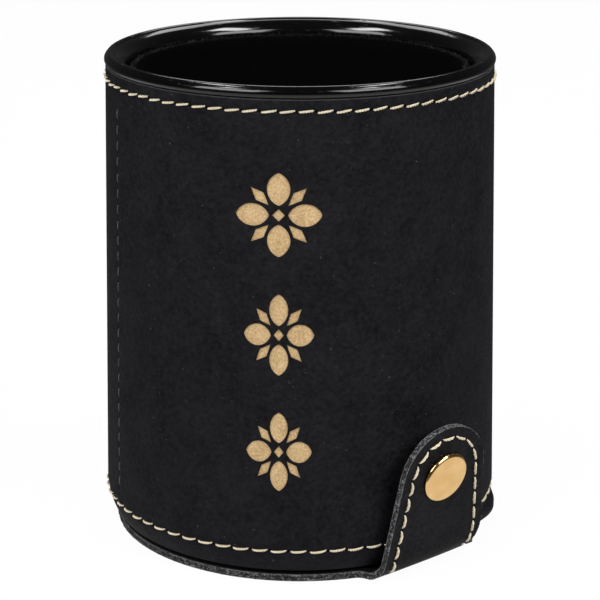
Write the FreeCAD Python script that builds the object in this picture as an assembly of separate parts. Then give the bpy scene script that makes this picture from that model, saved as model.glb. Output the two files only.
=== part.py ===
"""A leatherette-wrapped pen cup with a plastic liner and a base flap closed by a snap.

Millimetres, +Z up. The origin is the centre of the base flap's underside, where the cup stands.
An azimuth is measured from the front, -Y, towards +X.
The base flap hangs on a leather strap at the back, and its tongue folds up over the wall.
"""

import FreeCAD, Part
import math
import os

Vector = FreeCAD.Vector
ORIGIN = Vector(0, 0, 0)
UP = Vector(0, 0, 1)

# Thin clearances
GLUE_GAP = 0.02  # between pieces that are glued or sewn face to face
SHANK_GAP = 0.05  # round a shank in its hole

# Cutting tools reach this far past what they cut
CUTTER_REACH = 3.0
TOOL_WIDTH = 60.0

# Wrap: a slightly flared sleeve of three plies, whose lower hem curls in
WRAP_BASE_RADIUS = 46.4  # where the straight side would meet the table
WRAP_TAPER = 0.02225  # radius lost for each mm of height
WRAP_BOTTOM = 2.8
WRAP_TOP = 108.8
HEM_START = 10.0  # the hem curls in below this height
HEM_INSET = 2.0  # how far in its lower edge is
SKIN_THICKNESS = 0.35
CORE_THICKNESS = 0.55
BACKING_THICKNESS = 0.70
SKIN_DEPTH = SKIN_THICKNESS
CORE_DEPTH = SKIN_DEPTH + CORE_THICKNESS
WRAP_THICKNESS = CORE_DEPTH + BACKING_THICKNESS

# Engraving: three ornaments cut through the skin, one above the other
ORNAMENT_AZIMUTH = -5.8
ORNAMENT_HEIGHTS = (84.3, 58.0, 31.5)
ORNAMENT_WIDTHS = (18.4, 15.2, 14.4)
ORNAMENT_SIZE = 18.2  # height of each, and the width that the outline below is drawn for

# Stitching
THREAD_RADIUS = 0.3
STITCH_LENGTH = 3.3
EDGE_ROW_INSET = 2.5  # top row, below the wrap's upper edge
TOP_STITCHES = 70
BOTTOM_ROW_HEIGHT = 8.3
BOTTOM_STITCHES = 67
SEAM_AZIMUTH = -65.0
SEAM_PITCH = 3.6
SEAM_STITCH_LENGTH = 2.4
SEAM_THREAD_RADIUS = 0.15
SEAM_BOTTOM = 14.0
SEAM_TOP = 103.0

# Liner: a tumbler with a rolled lip, a collar, a floor and a foot flange
LIP_CREST = 111.5
LIP_CREST_RADIUS = 42.9
LIP_OUTSIDE_RADIUS = 44.25
LIP_UNDERSIDE = 109.1
LINER_INSIDE_RADIUS = 38.95
LINER_OUTSIDE_RADIUS = 41.6
COLLAR_BOTTOM = 99.0
FLOOR_TOP = 29.0
FLOOR_BOTTOM = 27.0
SPIGOT_RADIUS = 38.7
SPIGOT_INSIDE_RADIUS = 36.5
SPIGOT_BOTTOM = 25.0
WRAP_CLEARANCE = 0.05  # between the moulded parts and the wrap's inside

# Base ring: the compartment's wall, with a rib that carries the wrap
RING_INSIDE_RADIUS = 38.8
RING_OUTSIDE_RADIUS = 41.0
RING_BOTTOM = 3.6
RIB_BOTTOM = 14.9
RIB_TOP = 16.7

# Felt lining
FELT_THICKNESS = 1.6
FELT_FLOOR_THICKNESS = 1.4
FELT_TOP = 108.0

# Base flap: two plies, a disc and a tongue that folds up
FLAP_AZIMUTH = 38.9
FLAP_RADIUS = 43.94
FLAP_PLY = 0.8
FLAP_THICKNESS = 2 * FLAP_PLY
FOLD_START = 43.0  # distance from the axis at which the front fold begins
FOLD_RADIUS = 5.0  # outside radius of the fold
STRIP_START = 20.0  # where the strip that the tongue is cut from begins, under the disc
STRIP_RISE = 40.0
STRIP_HALF_WIDTH = 30.0
TONGUE_LEAN = 8.0  # degrees that the closed tongue leans out from upright
TONGUE_TIP_RADIUS = 12.0
TONGUE_TIP_CENTRE = 23.4  # height of the round tip's centre
TONGUE_SIDE_ANGLE = 7.1  # degrees that each side widens downwards
FLAP_ROW_INSET = 2.4
FLAP_STITCH_PITCH = 4.0
FLAP_STITCH_BED = 0.36  # height of the thread's centre in the groove under the disc
GROOVE_RADIUS = 0.34
ROW_TONGUE_GAP = 14.5  # from the middle of the tongue to the disc row's first stitch
ROW_CUT_GAP = 2.0  # from the disc row's last stitch to the straight cut at the back

# Hinge strap at the back of the flap
STRAP_THICKNESS = 1.0
STRAP_SWEEP = 37.0  # degrees of the wall that it covers
STRAP_TOP = 14.6
STRAP_TAIL_BOTTOM = 3.4
STRAP_LEG_INSIDE = 27.0
STRAP_BEND_RADIUS = 1.5  # of its middle
REAR_CUT = 41.2  # the disc is cut straight here, to swing clear of the hem
HINGE_RELIEF = 1.25  # radius left free about the front fold's pivot

# Snap
SNAP_HEIGHT = 23.4  # of its centre on the tongue's outside
CAP_RADIUS = 6.0
CAP_EDGE = 0.45
CAP_HEIGHT = 1.35
SHANK_RADIUS = 1.6
SHANK_HEAD_RADIUS = 2.0
SHANK_HEAD_THICKNESS = 0.25
SOCKET_RADIUS = 4.6
SOCKET_BORE_RADIUS = 3.2
SOCKET_PLATE = 0.4
SOCKET_HEIGHT = 2.0
STUD_HEIGHT_ON_WALL = 23.8
STUD_FLANGE_RADIUS = 4.0
STUD_FLANGE = 0.25
STUD_NECK_RADIUS = 2.35
STUD_KNOB_RADIUS = 2.75
STUD_LENGTH = 1.8
STUD_NECK_LENGTH = 0.4
STUD_CHAMFER = 0.3
POST_FLANGE = 0.4
POST_FLANGE_RADIUS = 3.0
POST_SEAT = 0.2  # how far the post's flange stands clear of the wrap's inside


def direction(azimuth):
    """The level unit vector at an azimuth."""
    turn = math.radians(azimuth)
    return Vector(math.sin(turn), -math.cos(turn), 0)


FLAP_OUT = direction(FLAP_AZIMUTH)
FLAP_ALONG = direction(FLAP_AZIMUTH + 90)


def flap_point(out, along, height):
    """A point given in the flap's own directions."""
    return FLAP_OUT * out + FLAP_ALONG * along + UP * height


def wrap_radius(height):
    """Outside radius of the wrap at a height."""
    radius = WRAP_BASE_RADIUS - WRAP_TAPER * height
    if height < HEM_START:
        curl = (HEM_START - height) / (HEM_START - WRAP_BOTTOM)
        radius -= HEM_INSET * curl**2
    return radius


def turned(outline, azimuth=0.0, sweep=360.0):
    """A solid turned about the cup's axis. The outline holds (radius, height) points, and a
    triple of points stands for an arc."""
    start = direction(azimuth - sweep / 2)

    def place(point):
        return start * point[0] + UP * point[1]

    edges = []
    for step in outline:
        points = [place(point) for point in step]
        curve = Part.Arc(*points) if len(points) == 3 else Part.LineSegment(*points)
        edges.append(curve.toShape())
    face = Part.Face(Part.Wire(edges))
    return face.revolve(ORIGIN, UP, sweep)


def closed(points):
    """The straight sides of a closed outline through (radius, height) points."""
    return [(a, b) for a, b in zip(points, points[1:] + points[:1])]


def disc(outside, bottom, top, inside=0.0):
    """A flat disc or ring about the cup's axis."""
    corners = [(inside, bottom), (outside, bottom), (outside, top), (inside, top)]
    return turned(closed(corners))


def prism(points, normal, length):
    """A flat closed outline pushed along a normal."""
    return Part.Face(Part.makePolygon(points + points[:1])).extrude(normal * length)


def cylinder(radius, start, axis, length):
    return Part.makeCylinder(radius, length, start, axis)


def capsule(start, end, radius):
    """One stitch: a straight length of thread with round ends."""
    axis = end - start
    rod = Part.makeCylinder(radius, axis.Length, start, axis)
    ends = [Part.makeSphere(radius, point) for point in (start, end)]
    return rod.fuse(ends).removeSplitter()


def save(node, shape):
    """Writes one node. A list of separate solids is kept as a group."""
    if isinstance(shape, list):
        shape = Part.makeCompound(shape)
    shape.exportStep("parts/" + node + ".step")


# ---------------------------------------------------------------- wrap


def wrap_layer(outer_depth, inner_depth, bottom, top, azimuth=0.0, sweep=360.0):
    """A layer that follows the wrap between two depths below its outside."""
    middle = (bottom + HEM_START) / 2

    def at(height, depth):
        return (wrap_radius(height) - depth, height)

    outline = [
        (at(top, outer_depth), at(HEM_START, outer_depth)),
        (at(HEM_START, outer_depth), at(middle, outer_depth), at(bottom, outer_depth)),
        (at(bottom, outer_depth), at(bottom, inner_depth)),
        (at(bottom, inner_depth), at(middle, inner_depth), at(HEM_START, inner_depth)),
        (at(HEM_START, inner_depth), at(top, inner_depth)),
        (at(top, inner_depth), at(top, outer_depth)),
    ]
    return turned(outline, azimuth, sweep)


def ornament_loops():
    """Closed outlines of one ornament, centred, as lists of two- and three-point steps: four
    pointed petals about a lozenge, with a smaller lozenge between each pair of petals."""
    reach = ORNAMENT_SIZE / 2
    petal_foot = 0.22 * reach
    petal_waist = 0.58 * reach
    petal_half_width = 0.27 * reach
    spark_distance = 0.62 * reach
    spark_length = 0.30 * reach
    spark_half_width = 0.13 * reach
    heart = 0.15 * reach
    loops = []
    for quarter in range(4):
        turn = math.radians(90 * quarter)
        diagonal = turn + math.radians(45)

        def turned_by(angle, across, out):
            return (
                across * math.cos(angle) - out * math.sin(angle),
                across * math.sin(angle) + out * math.cos(angle),
            )

        foot = turned_by(turn, 0, petal_foot)
        tip = turned_by(turn, 0, reach)
        right = turned_by(turn, petal_half_width, petal_waist)
        left = turned_by(turn, -petal_half_width, petal_waist)
        loops.append([(foot, right, tip), (tip, left, foot)])
        corners = [
            turned_by(diagonal, 0, spark_distance - spark_length),
            turned_by(diagonal, spark_half_width, spark_distance),
            turned_by(diagonal, 0, spark_distance + spark_length),
            turned_by(diagonal, -spark_half_width, spark_distance),
        ]
        loops.append(closed(corners))
    loops.append(closed([(0, -heart), (heart, 0), (0, heart), (-heart, 0)]))
    return loops


def ornament_cutter(height, width):
    """Radial cutters for one ornament on the front of the wrap."""
    out = direction(ORNAMENT_AZIMUTH)
    across = direction(ORNAMENT_AZIMUTH + 90)
    start = out * (wrap_radius(height) - SKIN_DEPTH - CUTTER_REACH) + UP * height
    length = SKIN_DEPTH + 2 * CUTTER_REACH
    squeeze = width / ORNAMENT_SIZE
    cutters = []
    for loop in ornament_loops():
        edges = []
        for step in loop:
            points = [start + across * (x * squeeze) + UP * y for x, y in step]
            curve = Part.Arc(*points) if len(points) == 3 else Part.LineSegment(*points)
            edges.append(curve.toShape())
        cutters.append(Part.Face(Part.Wire(edges)).extrude(out * length))
    return cutters


def stud_hole():
    """The hole through the wrap for the stud's post."""
    inside = wrap_radius(STUD_HEIGHT_ON_WALL) - WRAP_THICKNESS - CUTTER_REACH
    start = FLAP_OUT * inside + UP * STUD_HEIGHT_ON_WALL
    length = WRAP_THICKNESS + 2 * CUTTER_REACH
    return cylinder(SHANK_RADIUS + SHANK_GAP, start, FLAP_OUT, length)


def make_wrap():
    skin = wrap_layer(0, SKIN_DEPTH - GLUE_GAP, WRAP_BOTTOM, WRAP_TOP)
    cutters = [stud_hole()]
    for height, width in zip(ORNAMENT_HEIGHTS, ORNAMENT_WIDTHS):
        cutters += ornament_cutter(height, width)
    save("wrap_skin", skin.cut(cutters))
    core = wrap_layer(SKIN_DEPTH, CORE_DEPTH - GLUE_GAP, WRAP_BOTTOM, WRAP_TOP)
    save("wrap_core", core.cut(stud_hole()))
    backing = wrap_layer(CORE_DEPTH, WRAP_THICKNESS, WRAP_BOTTOM, WRAP_TOP)
    save("wrap_backing", backing.cut(stud_hole()))


def ring_row(count, height, radius):
    """A row of level stitches round the wrap."""
    lift = THREAD_RADIUS + GLUE_GAP
    half_turn = math.degrees((STITCH_LENGTH / 2 - THREAD_RADIUS) / radius)
    sag = radius * (1 - math.cos(math.radians(half_turn)))
    distance = radius + lift + sag
    stitches = []
    for number in range(count):
        azimuth = 360 * number / count
        start = direction(azimuth - half_turn) * distance + UP * height
        end = direction(azimuth + half_turn) * distance + UP * height
        stitches.append(capsule(start, end, THREAD_RADIUS))
    return stitches


def seam_row():
    """The upright row of small stitches where the wrap's ends overlap."""
    out = direction(SEAM_AZIMUTH)
    count = int((SEAM_TOP - SEAM_BOTTOM) / SEAM_PITCH)
    half = SEAM_STITCH_LENGTH / 2 - SEAM_THREAD_RADIUS
    lift = SEAM_THREAD_RADIUS + GLUE_GAP
    stitches = []
    for number in range(count):
        middle = SEAM_BOTTOM + number * SEAM_PITCH
        ends = []
        for height in (middle - half, middle + half):
            ends.append(out * (wrap_radius(height) + lift) + UP * height)
        stitches.append(capsule(ends[0], ends[1], SEAM_THREAD_RADIUS))
    return stitches


def make_wrap_stitching():
    top_row = WRAP_TOP - EDGE_ROW_INSET
    save("top_stitches", ring_row(TOP_STITCHES, top_row, wrap_radius(top_row)))
    bottom_radius = wrap_radius(BOTTOM_ROW_HEIGHT)
    save("bottom_stitches", ring_row(BOTTOM_STITCHES, BOTTOM_ROW_HEIGHT, bottom_radius))
    save("seam_stitches", seam_row())


# ---------------------------------------------------------------- moulded parts and felt


def inside_wrap(height):
    """Radius at which a moulded part carries the wrap."""
    return wrap_radius(height) - WRAP_THICKNESS - WRAP_CLEARANCE


def make_liner():
    collar = inside_wrap(WRAP_TOP)
    throat = (LINER_INSIDE_RADIUS, LIP_UNDERSIDE - 1.0)
    lip_inside = (LINER_INSIDE_RADIUS + 0.15, LIP_UNDERSIDE - 0.1)
    flare = (LIP_CREST_RADIUS - 2.3, LIP_CREST - 1.2)
    crest_start = (LIP_CREST_RADIUS - 0.9, LIP_CREST - 0.35)
    crest = (LIP_CREST_RADIUS, LIP_CREST)
    crest_end = (LIP_CREST_RADIUS + 0.9, LIP_CREST - 0.55)
    bead = (LIP_OUTSIDE_RADIUS, LIP_UNDERSIDE + 0.8)
    lip_end = (LIP_OUTSIDE_RADIUS - 0.35, LIP_UNDERSIDE)
    outline = [
        ((0, FLOOR_TOP), (LINER_INSIDE_RADIUS, FLOOR_TOP)),
        ((LINER_INSIDE_RADIUS, FLOOR_TOP), throat),
        (throat, lip_inside),
        (lip_inside, flare, crest_start),
        (crest_start, crest, crest_end),
        (crest_end, bead, lip_end),
        (lip_end, (collar, LIP_UNDERSIDE)),
        ((collar, LIP_UNDERSIDE), (collar, COLLAR_BOTTOM)),
        ((collar, COLLAR_BOTTOM), (LINER_OUTSIDE_RADIUS, COLLAR_BOTTOM)),
        ((LINER_OUTSIDE_RADIUS, COLLAR_BOTTOM), (LINER_OUTSIDE_RADIUS, FLOOR_TOP)),
        ((LINER_OUTSIDE_RADIUS, FLOOR_TOP), (inside_wrap(FLOOR_TOP), FLOOR_TOP)),
        ((inside_wrap(FLOOR_TOP), FLOOR_TOP), (inside_wrap(FLOOR_TOP), FLOOR_BOTTOM)),
        ((inside_wrap(FLOOR_TOP), FLOOR_BOTTOM), (SPIGOT_RADIUS, FLOOR_BOTTOM)),
        ((SPIGOT_RADIUS, FLOOR_BOTTOM), (SPIGOT_RADIUS, SPIGOT_BOTTOM)),
        ((SPIGOT_RADIUS, SPIGOT_BOTTOM), (SPIGOT_INSIDE_RADIUS, SPIGOT_BOTTOM)),
        ((SPIGOT_INSIDE_RADIUS, SPIGOT_BOTTOM), (SPIGOT_INSIDE_RADIUS, FLOOR_BOTTOM)),
        ((SPIGOT_INSIDE_RADIUS, FLOOR_BOTTOM), (0, FLOOR_BOTTOM)),
        ((0, FLOOR_BOTTOM), (0, FLOOR_TOP)),
    ]
    save("cup_liner", turned(outline))


def make_base_ring():
    rib = inside_wrap(RIB_TOP)
    corners = [
        (RING_INSIDE_RADIUS, RING_BOTTOM),
        (RING_OUTSIDE_RADIUS, RING_BOTTOM),
        (RING_OUTSIDE_RADIUS, RIB_BOTTOM),
        (rib, RIB_BOTTOM),
        (rib, RIB_TOP),
        (RING_OUTSIDE_RADIUS, RIB_TOP),
        (RING_OUTSIDE_RADIUS, FLOOR_BOTTOM - GLUE_GAP),
        (RING_INSIDE_RADIUS, FLOOR_BOTTOM - GLUE_GAP),
    ]
    save("base_ring", turned(closed(corners)))


def make_felt():
    outside = LINER_INSIDE_RADIUS - WRAP_CLEARANCE
    floor_top = FLOOR_TOP + FELT_FLOOR_THICKNESS
    save("felt_floor", disc(outside, FLOOR_TOP + GLUE_GAP, floor_top))
    inside = outside - FELT_THICKNESS
    save("felt_sleeve", disc(outside, floor_top + GLUE_GAP, FELT_TOP, inside))


# ---------------------------------------------------------------- flap


def fold_pivot(centre, middle_radius, turn, bisector):
    """Where a bend of this radius and turn must pivot to come out straight, as an (out, height)
    point. The bisector is the direction from the bend's centre to its middle, in degrees."""
    half = math.radians(turn / 2)
    reach = middle_radius * half / math.sin(half)
    angle = math.radians(bisector)
    return (centre[0] + reach * math.cos(angle), centre[1] + reach * math.sin(angle))


FOLD_TURN = 90.0 - TONGUE_LEAN
FRONT_PIVOT = fold_pivot(
    (FOLD_START, FOLD_RADIUS),
    FOLD_RADIUS - FLAP_THICKNESS / 2,
    FOLD_TURN,
    FOLD_TURN / 2 - 90,
)
TAIL_MIDDLE = wrap_radius(STRAP_TAIL_BOTTOM) - WRAP_THICKNESS - STRAP_THICKNESS / 2
REAR_BEND = (
    -(TAIL_MIDDLE - STRAP_BEND_RADIUS),
    FLAP_THICKNESS + STRAP_THICKNESS / 2 + STRAP_BEND_RADIUS,
)
REAR_PIVOT = fold_pivot(REAR_BEND, STRAP_BEND_RADIUS, 90.0, 225.0)


def tongue_half_width(height):
    """Half the tongue's width at a height below its round tip."""
    side = math.radians(TONGUE_SIDE_ANGLE)
    below = TONGUE_TIP_CENTRE - height
    return (TONGUE_TIP_RADIUS + below * math.sin(side)) / math.cos(side)


def tongue_outline():
    """The tongue's outline seen from its front, as a solid that cuts it out."""
    near = STRIP_START
    low = -CUTTER_REACH
    side = math.radians(TONGUE_SIDE_ANGLE)
    across = TONGUE_TIP_RADIUS * math.cos(side)
    tangent = TONGUE_TIP_CENTRE + TONGUE_TIP_RADIUS * math.sin(side)
    foot = tongue_half_width(low)
    top = TONGUE_TIP_CENTRE + TONGUE_TIP_RADIUS
    left_foot = flap_point(near, -foot, low)
    right_foot = flap_point(near, foot, low)
    left = flap_point(near, -across, tangent)
    right = flap_point(near, across, tangent)
    edges = [
        Part.LineSegment(left_foot, left),
        Part.Arc(left, flap_point(near, 0, top), right),
        Part.LineSegment(right, right_foot),
        Part.LineSegment(right_foot, left_foot),
    ]
    face = Part.Face(Part.Wire([edge.toShape() for edge in edges]))
    return face.extrude(FLAP_OUT * FLAP_RADIUS)


def bent_strip(low, high):
    """The folded strip between two heights above the flap's underside, wider than the tongue."""
    lean = math.radians(TONGUE_LEAN)
    near = STRIP_START

    def on_fold(depth, angle):
        radius = FOLD_RADIUS - depth
        turn = math.radians(angle)
        out = FOLD_START + radius * math.cos(turn)
        return flap_point(out, -STRIP_HALF_WIDTH, FOLD_RADIUS + radius * math.sin(turn))

    def flat(depth):
        return flap_point(near, -STRIP_HALF_WIDTH, depth)

    along_tongue = (FLAP_OUT * math.sin(lean) + UP * math.cos(lean)) * STRIP_RISE
    middle = -90 + FOLD_TURN / 2
    edges = [
        Part.LineSegment(flat(low), on_fold(low, -90)),
        Part.Arc(on_fold(low, -90), on_fold(low, middle), on_fold(low, -TONGUE_LEAN)),
        Part.LineSegment(
            on_fold(low, -TONGUE_LEAN), on_fold(low, -TONGUE_LEAN) + along_tongue
        ),
        Part.LineSegment(
            on_fold(low, -TONGUE_LEAN) + along_tongue,
            on_fold(high, -TONGUE_LEAN) + along_tongue,
        ),
        Part.LineSegment(
            on_fold(high, -TONGUE_LEAN) + along_tongue, on_fold(high, -TONGUE_LEAN)
        ),
        Part.Arc(on_fold(high, -TONGUE_LEAN), on_fold(high, middle), on_fold(high, -90)),
        Part.LineSegment(on_fold(high, -90), flat(high)),
        Part.LineSegment(flat(high), flat(low)),
    ]
    face = Part.Face(Part.Wire([edge.toShape() for edge in edges]))
    return face.extrude(FLAP_ALONG * (2 * STRIP_HALF_WIDTH))


def beyond(out, sign):
    """A block that takes away everything further out than a straight line."""
    low = -CUTTER_REACH
    high = FLAP_THICKNESS + STRAP_THICKNESS + CUTTER_REACH
    corners = [
        flap_point(out, -TOOL_WIDTH, low),
        flap_point(out, TOOL_WIDTH, low),
        flap_point(out, TOOL_WIDTH, high),
        flap_point(out, -TOOL_WIDTH, high),
    ]
    return prism(corners, FLAP_OUT * sign, FLAP_RADIUS)


def snap_frame():
    """Centre of the snap on the tongue's outside, and the outward normal there."""
    lean = math.radians(TONGUE_LEAN)
    normal = FLAP_OUT * math.cos(lean) - UP * math.sin(lean)
    end_out = FOLD_START + FOLD_RADIUS * math.cos(lean)
    end_height = FOLD_RADIUS * (1 - math.sin(lean))
    centre_out = end_out + (SNAP_HEIGHT - end_height) * math.tan(lean)
    return flap_point(centre_out, 0, SNAP_HEIGHT), normal


def flap_ply(low, high):
    """One ply of the flap as its two rigid parts, the disc and the tongue."""
    round_part = disc(FLAP_RADIUS, low, high).cut(beyond(FOLD_START, 1))
    tongue = bent_strip(low, high).common(tongue_outline())
    ply = round_part.fuse(tongue).removeSplitter()
    centre, normal = snap_frame()
    pivot = flap_point(FRONT_PIVOT[0], -TOOL_WIDTH, FRONT_PIVOT[1])
    shank_length = FLAP_THICKNESS + 2 * CUTTER_REACH
    shank_start = centre - normal * (FLAP_THICKNESS + CUTTER_REACH)
    tools = [
        beyond(-REAR_CUT, -1),
        cylinder(HINGE_RELIEF, pivot, FLAP_ALONG, 2 * TOOL_WIDTH),
        cylinder(SHANK_RADIUS + SHANK_GAP, shank_start, normal, shank_length),
    ]
    if low == 0:
        row = FLAP_RADIUS - FLAP_ROW_INSET
        tools.append(Part.makeTorus(row, GROOVE_RADIUS, UP * FLAP_STITCH_BED, UP))
    parts = ply.cut(tools).Solids
    parts.sort(key=lambda solid: solid.Volume, reverse=True)
    return parts[0], parts[1]


def disc_row():
    """Stitches in the groove under the disc, from one side of the tongue round to the other,
    leaving out the straight cut at the back."""
    row = FLAP_RADIUS - FLAP_ROW_INSET
    half_turn = math.degrees((STITCH_LENGTH / 2 - THREAD_RADIUS) / row)
    step = math.degrees(FLAP_STITCH_PITCH / row)
    clear_of_tongue = math.degrees(math.asin(ROW_TONGUE_GAP / row))
    clear_of_strap = math.degrees(math.acos((REAR_CUT - ROW_CUT_GAP) / row))
    stitches = []
    for side in (-1, 1):
        turn = clear_of_tongue
        while turn < 180 - clear_of_strap - half_turn:
            azimuth = FLAP_AZIMUTH + side * turn
            start = direction(azimuth - half_turn) * row + UP * FLAP_STITCH_BED
            end = direction(azimuth + half_turn) * row + UP * FLAP_STITCH_BED
            stitches.append(capsule(start, end, THREAD_RADIUS))
            turn += step
    return stitches


def tongue_row():
    """Stitches on the tongue's outside, parallel to its outline."""
    lean = math.radians(TONGUE_LEAN)
    side = math.radians(TONGUE_SIDE_ANGLE)
    radius = TONGUE_TIP_RADIUS - FLAP_ROW_INSET
    normal = FLAP_OUT * math.cos(lean) - UP * math.sin(lean)
    end_out = FOLD_START + FOLD_RADIUS * math.cos(lean)
    end_height = FOLD_RADIUS * (1 - math.sin(lean))

    def on_tongue(along, height):
        out = end_out + (height - end_height) * math.tan(lean)
        return flap_point(out, along, height) + normal * (THREAD_RADIUS + GLUE_GAP)

    arc = radius * (math.pi / 2 - side)
    straight = (TONGUE_TIP_CENTRE - end_height - 1.0) / math.cos(side)
    per_side = int((arc + straight) / FLAP_STITCH_PITCH)

    def row_point(travel):
        """A point of the row by its distance from the tip's middle, signed."""
        distance = abs(travel)
        hand = 1 if travel >= 0 else -1
        if distance <= arc:
            angle = distance / radius
            across = radius * math.sin(angle)
            return on_tongue(hand * across, TONGUE_TIP_CENTRE + radius * math.cos(angle))
        rest = distance - arc
        across = radius * math.cos(side) + rest * math.sin(side)
        height = TONGUE_TIP_CENTRE + radius * math.sin(side) - rest * math.cos(side)
        return on_tongue(hand * across, height)

    half = STITCH_LENGTH / 2 - THREAD_RADIUS
    stitches = []
    for number in range(-per_side, per_side + 1):
        travel = number * FLAP_STITCH_PITCH
        stitches.append(
            capsule(row_point(travel - half), row_point(travel + half), THREAD_RADIUS)
        )
    return stitches


def make_flap():
    outer_disc, outer_tongue = flap_ply(0, FLAP_PLY)
    inner_disc, inner_tongue = flap_ply(FLAP_PLY + GLUE_GAP, FLAP_THICKNESS)
    save("flap_outer_disc", outer_disc)
    save("flap_outer_tongue", outer_tongue)
    save("flap_inner_disc", inner_disc)
    save("flap_inner_tongue", inner_tongue)
    save("flap_disc_stitches", disc_row())
    save("tongue_stitches", tongue_row())


def make_strap():
    outer = WRAP_THICKNESS + GLUE_GAP
    azimuth = FLAP_AZIMUTH + 180
    tail = wrap_layer(
        outer,
        outer + STRAP_THICKNESS,
        STRAP_TAIL_BOTTOM,
        STRAP_TOP,
        azimuth,
        STRAP_SWEEP,
    )
    save("strap_tail", tail)
    low = FLAP_THICKNESS + GLUE_GAP
    high = low + STRAP_THICKNESS
    outside = -REAR_BEND[0]
    corners = [
        (STRAP_LEG_INSIDE, low),
        (outside, low),
        (outside, high),
        (STRAP_LEG_INSIDE, high),
    ]
    leg = turned(closed(corners), azimuth, STRAP_SWEEP)
    save("strap_leg", leg.cut(beyond(-REAR_CUT, -1)))


# ---------------------------------------------------------------- snap


def turned_on(base, axis, corners):
    """A solid turned about any axis from (radius, distance along the axis) corners."""
    side = axis.cross(FLAP_ALONG)
    side.normalize()
    points = [base + side * radius + axis * reach for radius, reach in corners]
    face = Part.Face(Part.makePolygon(points + points[:1]))
    return face.revolve(base, axis, 360)


def make_tongue_snap():
    centre, normal = snap_frame()
    base = centre + normal * GLUE_GAP
    side = normal.cross(FLAP_ALONG)
    side.normalize()
    foot = -(FLAP_THICKNESS + SOCKET_PLATE + 2 * GLUE_GAP)
    end = foot - SHANK_HEAD_THICKNESS
    dome_edge = CAP_RADIUS - CAP_EDGE
    dome_foot = 2 * CAP_EDGE
    rise = CAP_HEIGHT - dome_foot
    dome_radius = (dome_edge**2 + rise**2) / (2 * rise)
    half_angle = math.asin(dome_edge / dome_radius) / 2
    dome_centre = CAP_HEIGHT - dome_radius

    def at(radius, reach):
        return base + side * radius + normal * reach

    dome_middle = at(
        dome_radius * math.sin(half_angle),
        dome_centre + dome_radius * math.cos(half_angle),
    )
    edges = [
        Part.LineSegment(at(0, end), at(SHANK_HEAD_RADIUS, end)),
        Part.LineSegment(at(SHANK_HEAD_RADIUS, end), at(SHANK_HEAD_RADIUS, foot)),
        Part.LineSegment(at(SHANK_HEAD_RADIUS, foot), at(SHANK_RADIUS, foot)),
        Part.LineSegment(at(SHANK_RADIUS, foot), at(SHANK_RADIUS, 0)),
        Part.LineSegment(at(SHANK_RADIUS, 0), at(dome_edge, 0)),
        Part.Arc(at(dome_edge, 0), at(CAP_RADIUS, CAP_EDGE), at(dome_edge, dome_foot)),
        Part.Arc(at(dome_edge, dome_foot), dome_middle, at(0, CAP_HEIGHT)),
        Part.LineSegment(at(0, CAP_HEIGHT), at(0, end)),
    ]
    face = Part.Face(Part.Wire([edge.toShape() for edge in edges]))
    save("snap_cap", face.revolve(base, normal, 360))
    inner_face = centre - normal * (FLAP_THICKNESS + GLUE_GAP)
    bore = SHANK_RADIUS + SHANK_GAP
    socket_corners = [
        (bore, 0),
        (SOCKET_RADIUS, 0),
        (SOCKET_RADIUS, -SOCKET_HEIGHT),
        (SOCKET_BORE_RADIUS, -SOCKET_HEIGHT),
        (SOCKET_BORE_RADIUS, -SOCKET_PLATE),
        (bore, -SOCKET_PLATE),
    ]
    save("snap_socket", turned_on(inner_face, normal, socket_corners))


def make_wall_snap():
    face_radius = wrap_radius(STUD_HEIGHT_ON_WALL - STUD_FLANGE_RADIUS) + GLUE_GAP
    base = FLAP_OUT * face_radius + UP * STUD_HEIGHT_ON_WALL
    bore = SHANK_RADIUS + SHANK_GAP
    neck_end = STUD_FLANGE + STUD_NECK_LENGTH
    stud_corners = [
        (bore, 0),
        (STUD_FLANGE_RADIUS, 0),
        (STUD_FLANGE_RADIUS, STUD_FLANGE),
        (STUD_NECK_RADIUS, STUD_FLANGE),
        (STUD_NECK_RADIUS, neck_end),
        (STUD_KNOB_RADIUS, neck_end + STUD_CHAMFER),
        (STUD_KNOB_RADIUS, STUD_LENGTH - STUD_CHAMFER),
        (STUD_KNOB_RADIUS - STUD_CHAMFER, STUD_LENGTH),
        (bore, STUD_LENGTH),
    ]
    save("snap_stud", turned_on(base, FLAP_OUT, stud_corners))
    flange_face = inside_wrap(STUD_HEIGHT_ON_WALL + POST_FLANGE_RADIUS) - POST_SEAT
    foot = flange_face - face_radius
    post_corners = [
        (0, foot - POST_FLANGE),
        (POST_FLANGE_RADIUS, foot - POST_FLANGE),
        (POST_FLANGE_RADIUS, foot),
        (SHANK_RADIUS, foot),
        (SHANK_RADIUS, STUD_LENGTH),
        (0, STUD_LENGTH),
    ]
    save("snap_post", turned_on(base, FLAP_OUT, post_corners))


def main():
    os.makedirs("parts", exist_ok=True)
    make_wrap()
    make_wrap_stitching()
    make_liner()
    make_base_ring()
    make_felt()
    make_flap()
    make_strap()
    make_tongue_snap()
    make_wall_snap()
    for name, pivot in (("front fold", FRONT_PIVOT), ("rear bend", REAR_PIVOT)):
        point = flap_point(pivot[0], 0, pivot[1])
        print(name, "pivot", [round(value, 3) for value in point])
    print("hinge axis", [round(value, 5) for value in FLAP_ALONG])


main()
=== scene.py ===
"""Looks of the leatherette pen cup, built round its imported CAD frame.

Lengths below are in millimetres, as on the CAD drawing, and become metres when a mesh is made.
An azimuth is measured from the front, -Y, towards +X.
"""

import math

import bmesh
import bpy
import numpy as np
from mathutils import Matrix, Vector, geometry
from mathutils.kdtree import KDTree


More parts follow.
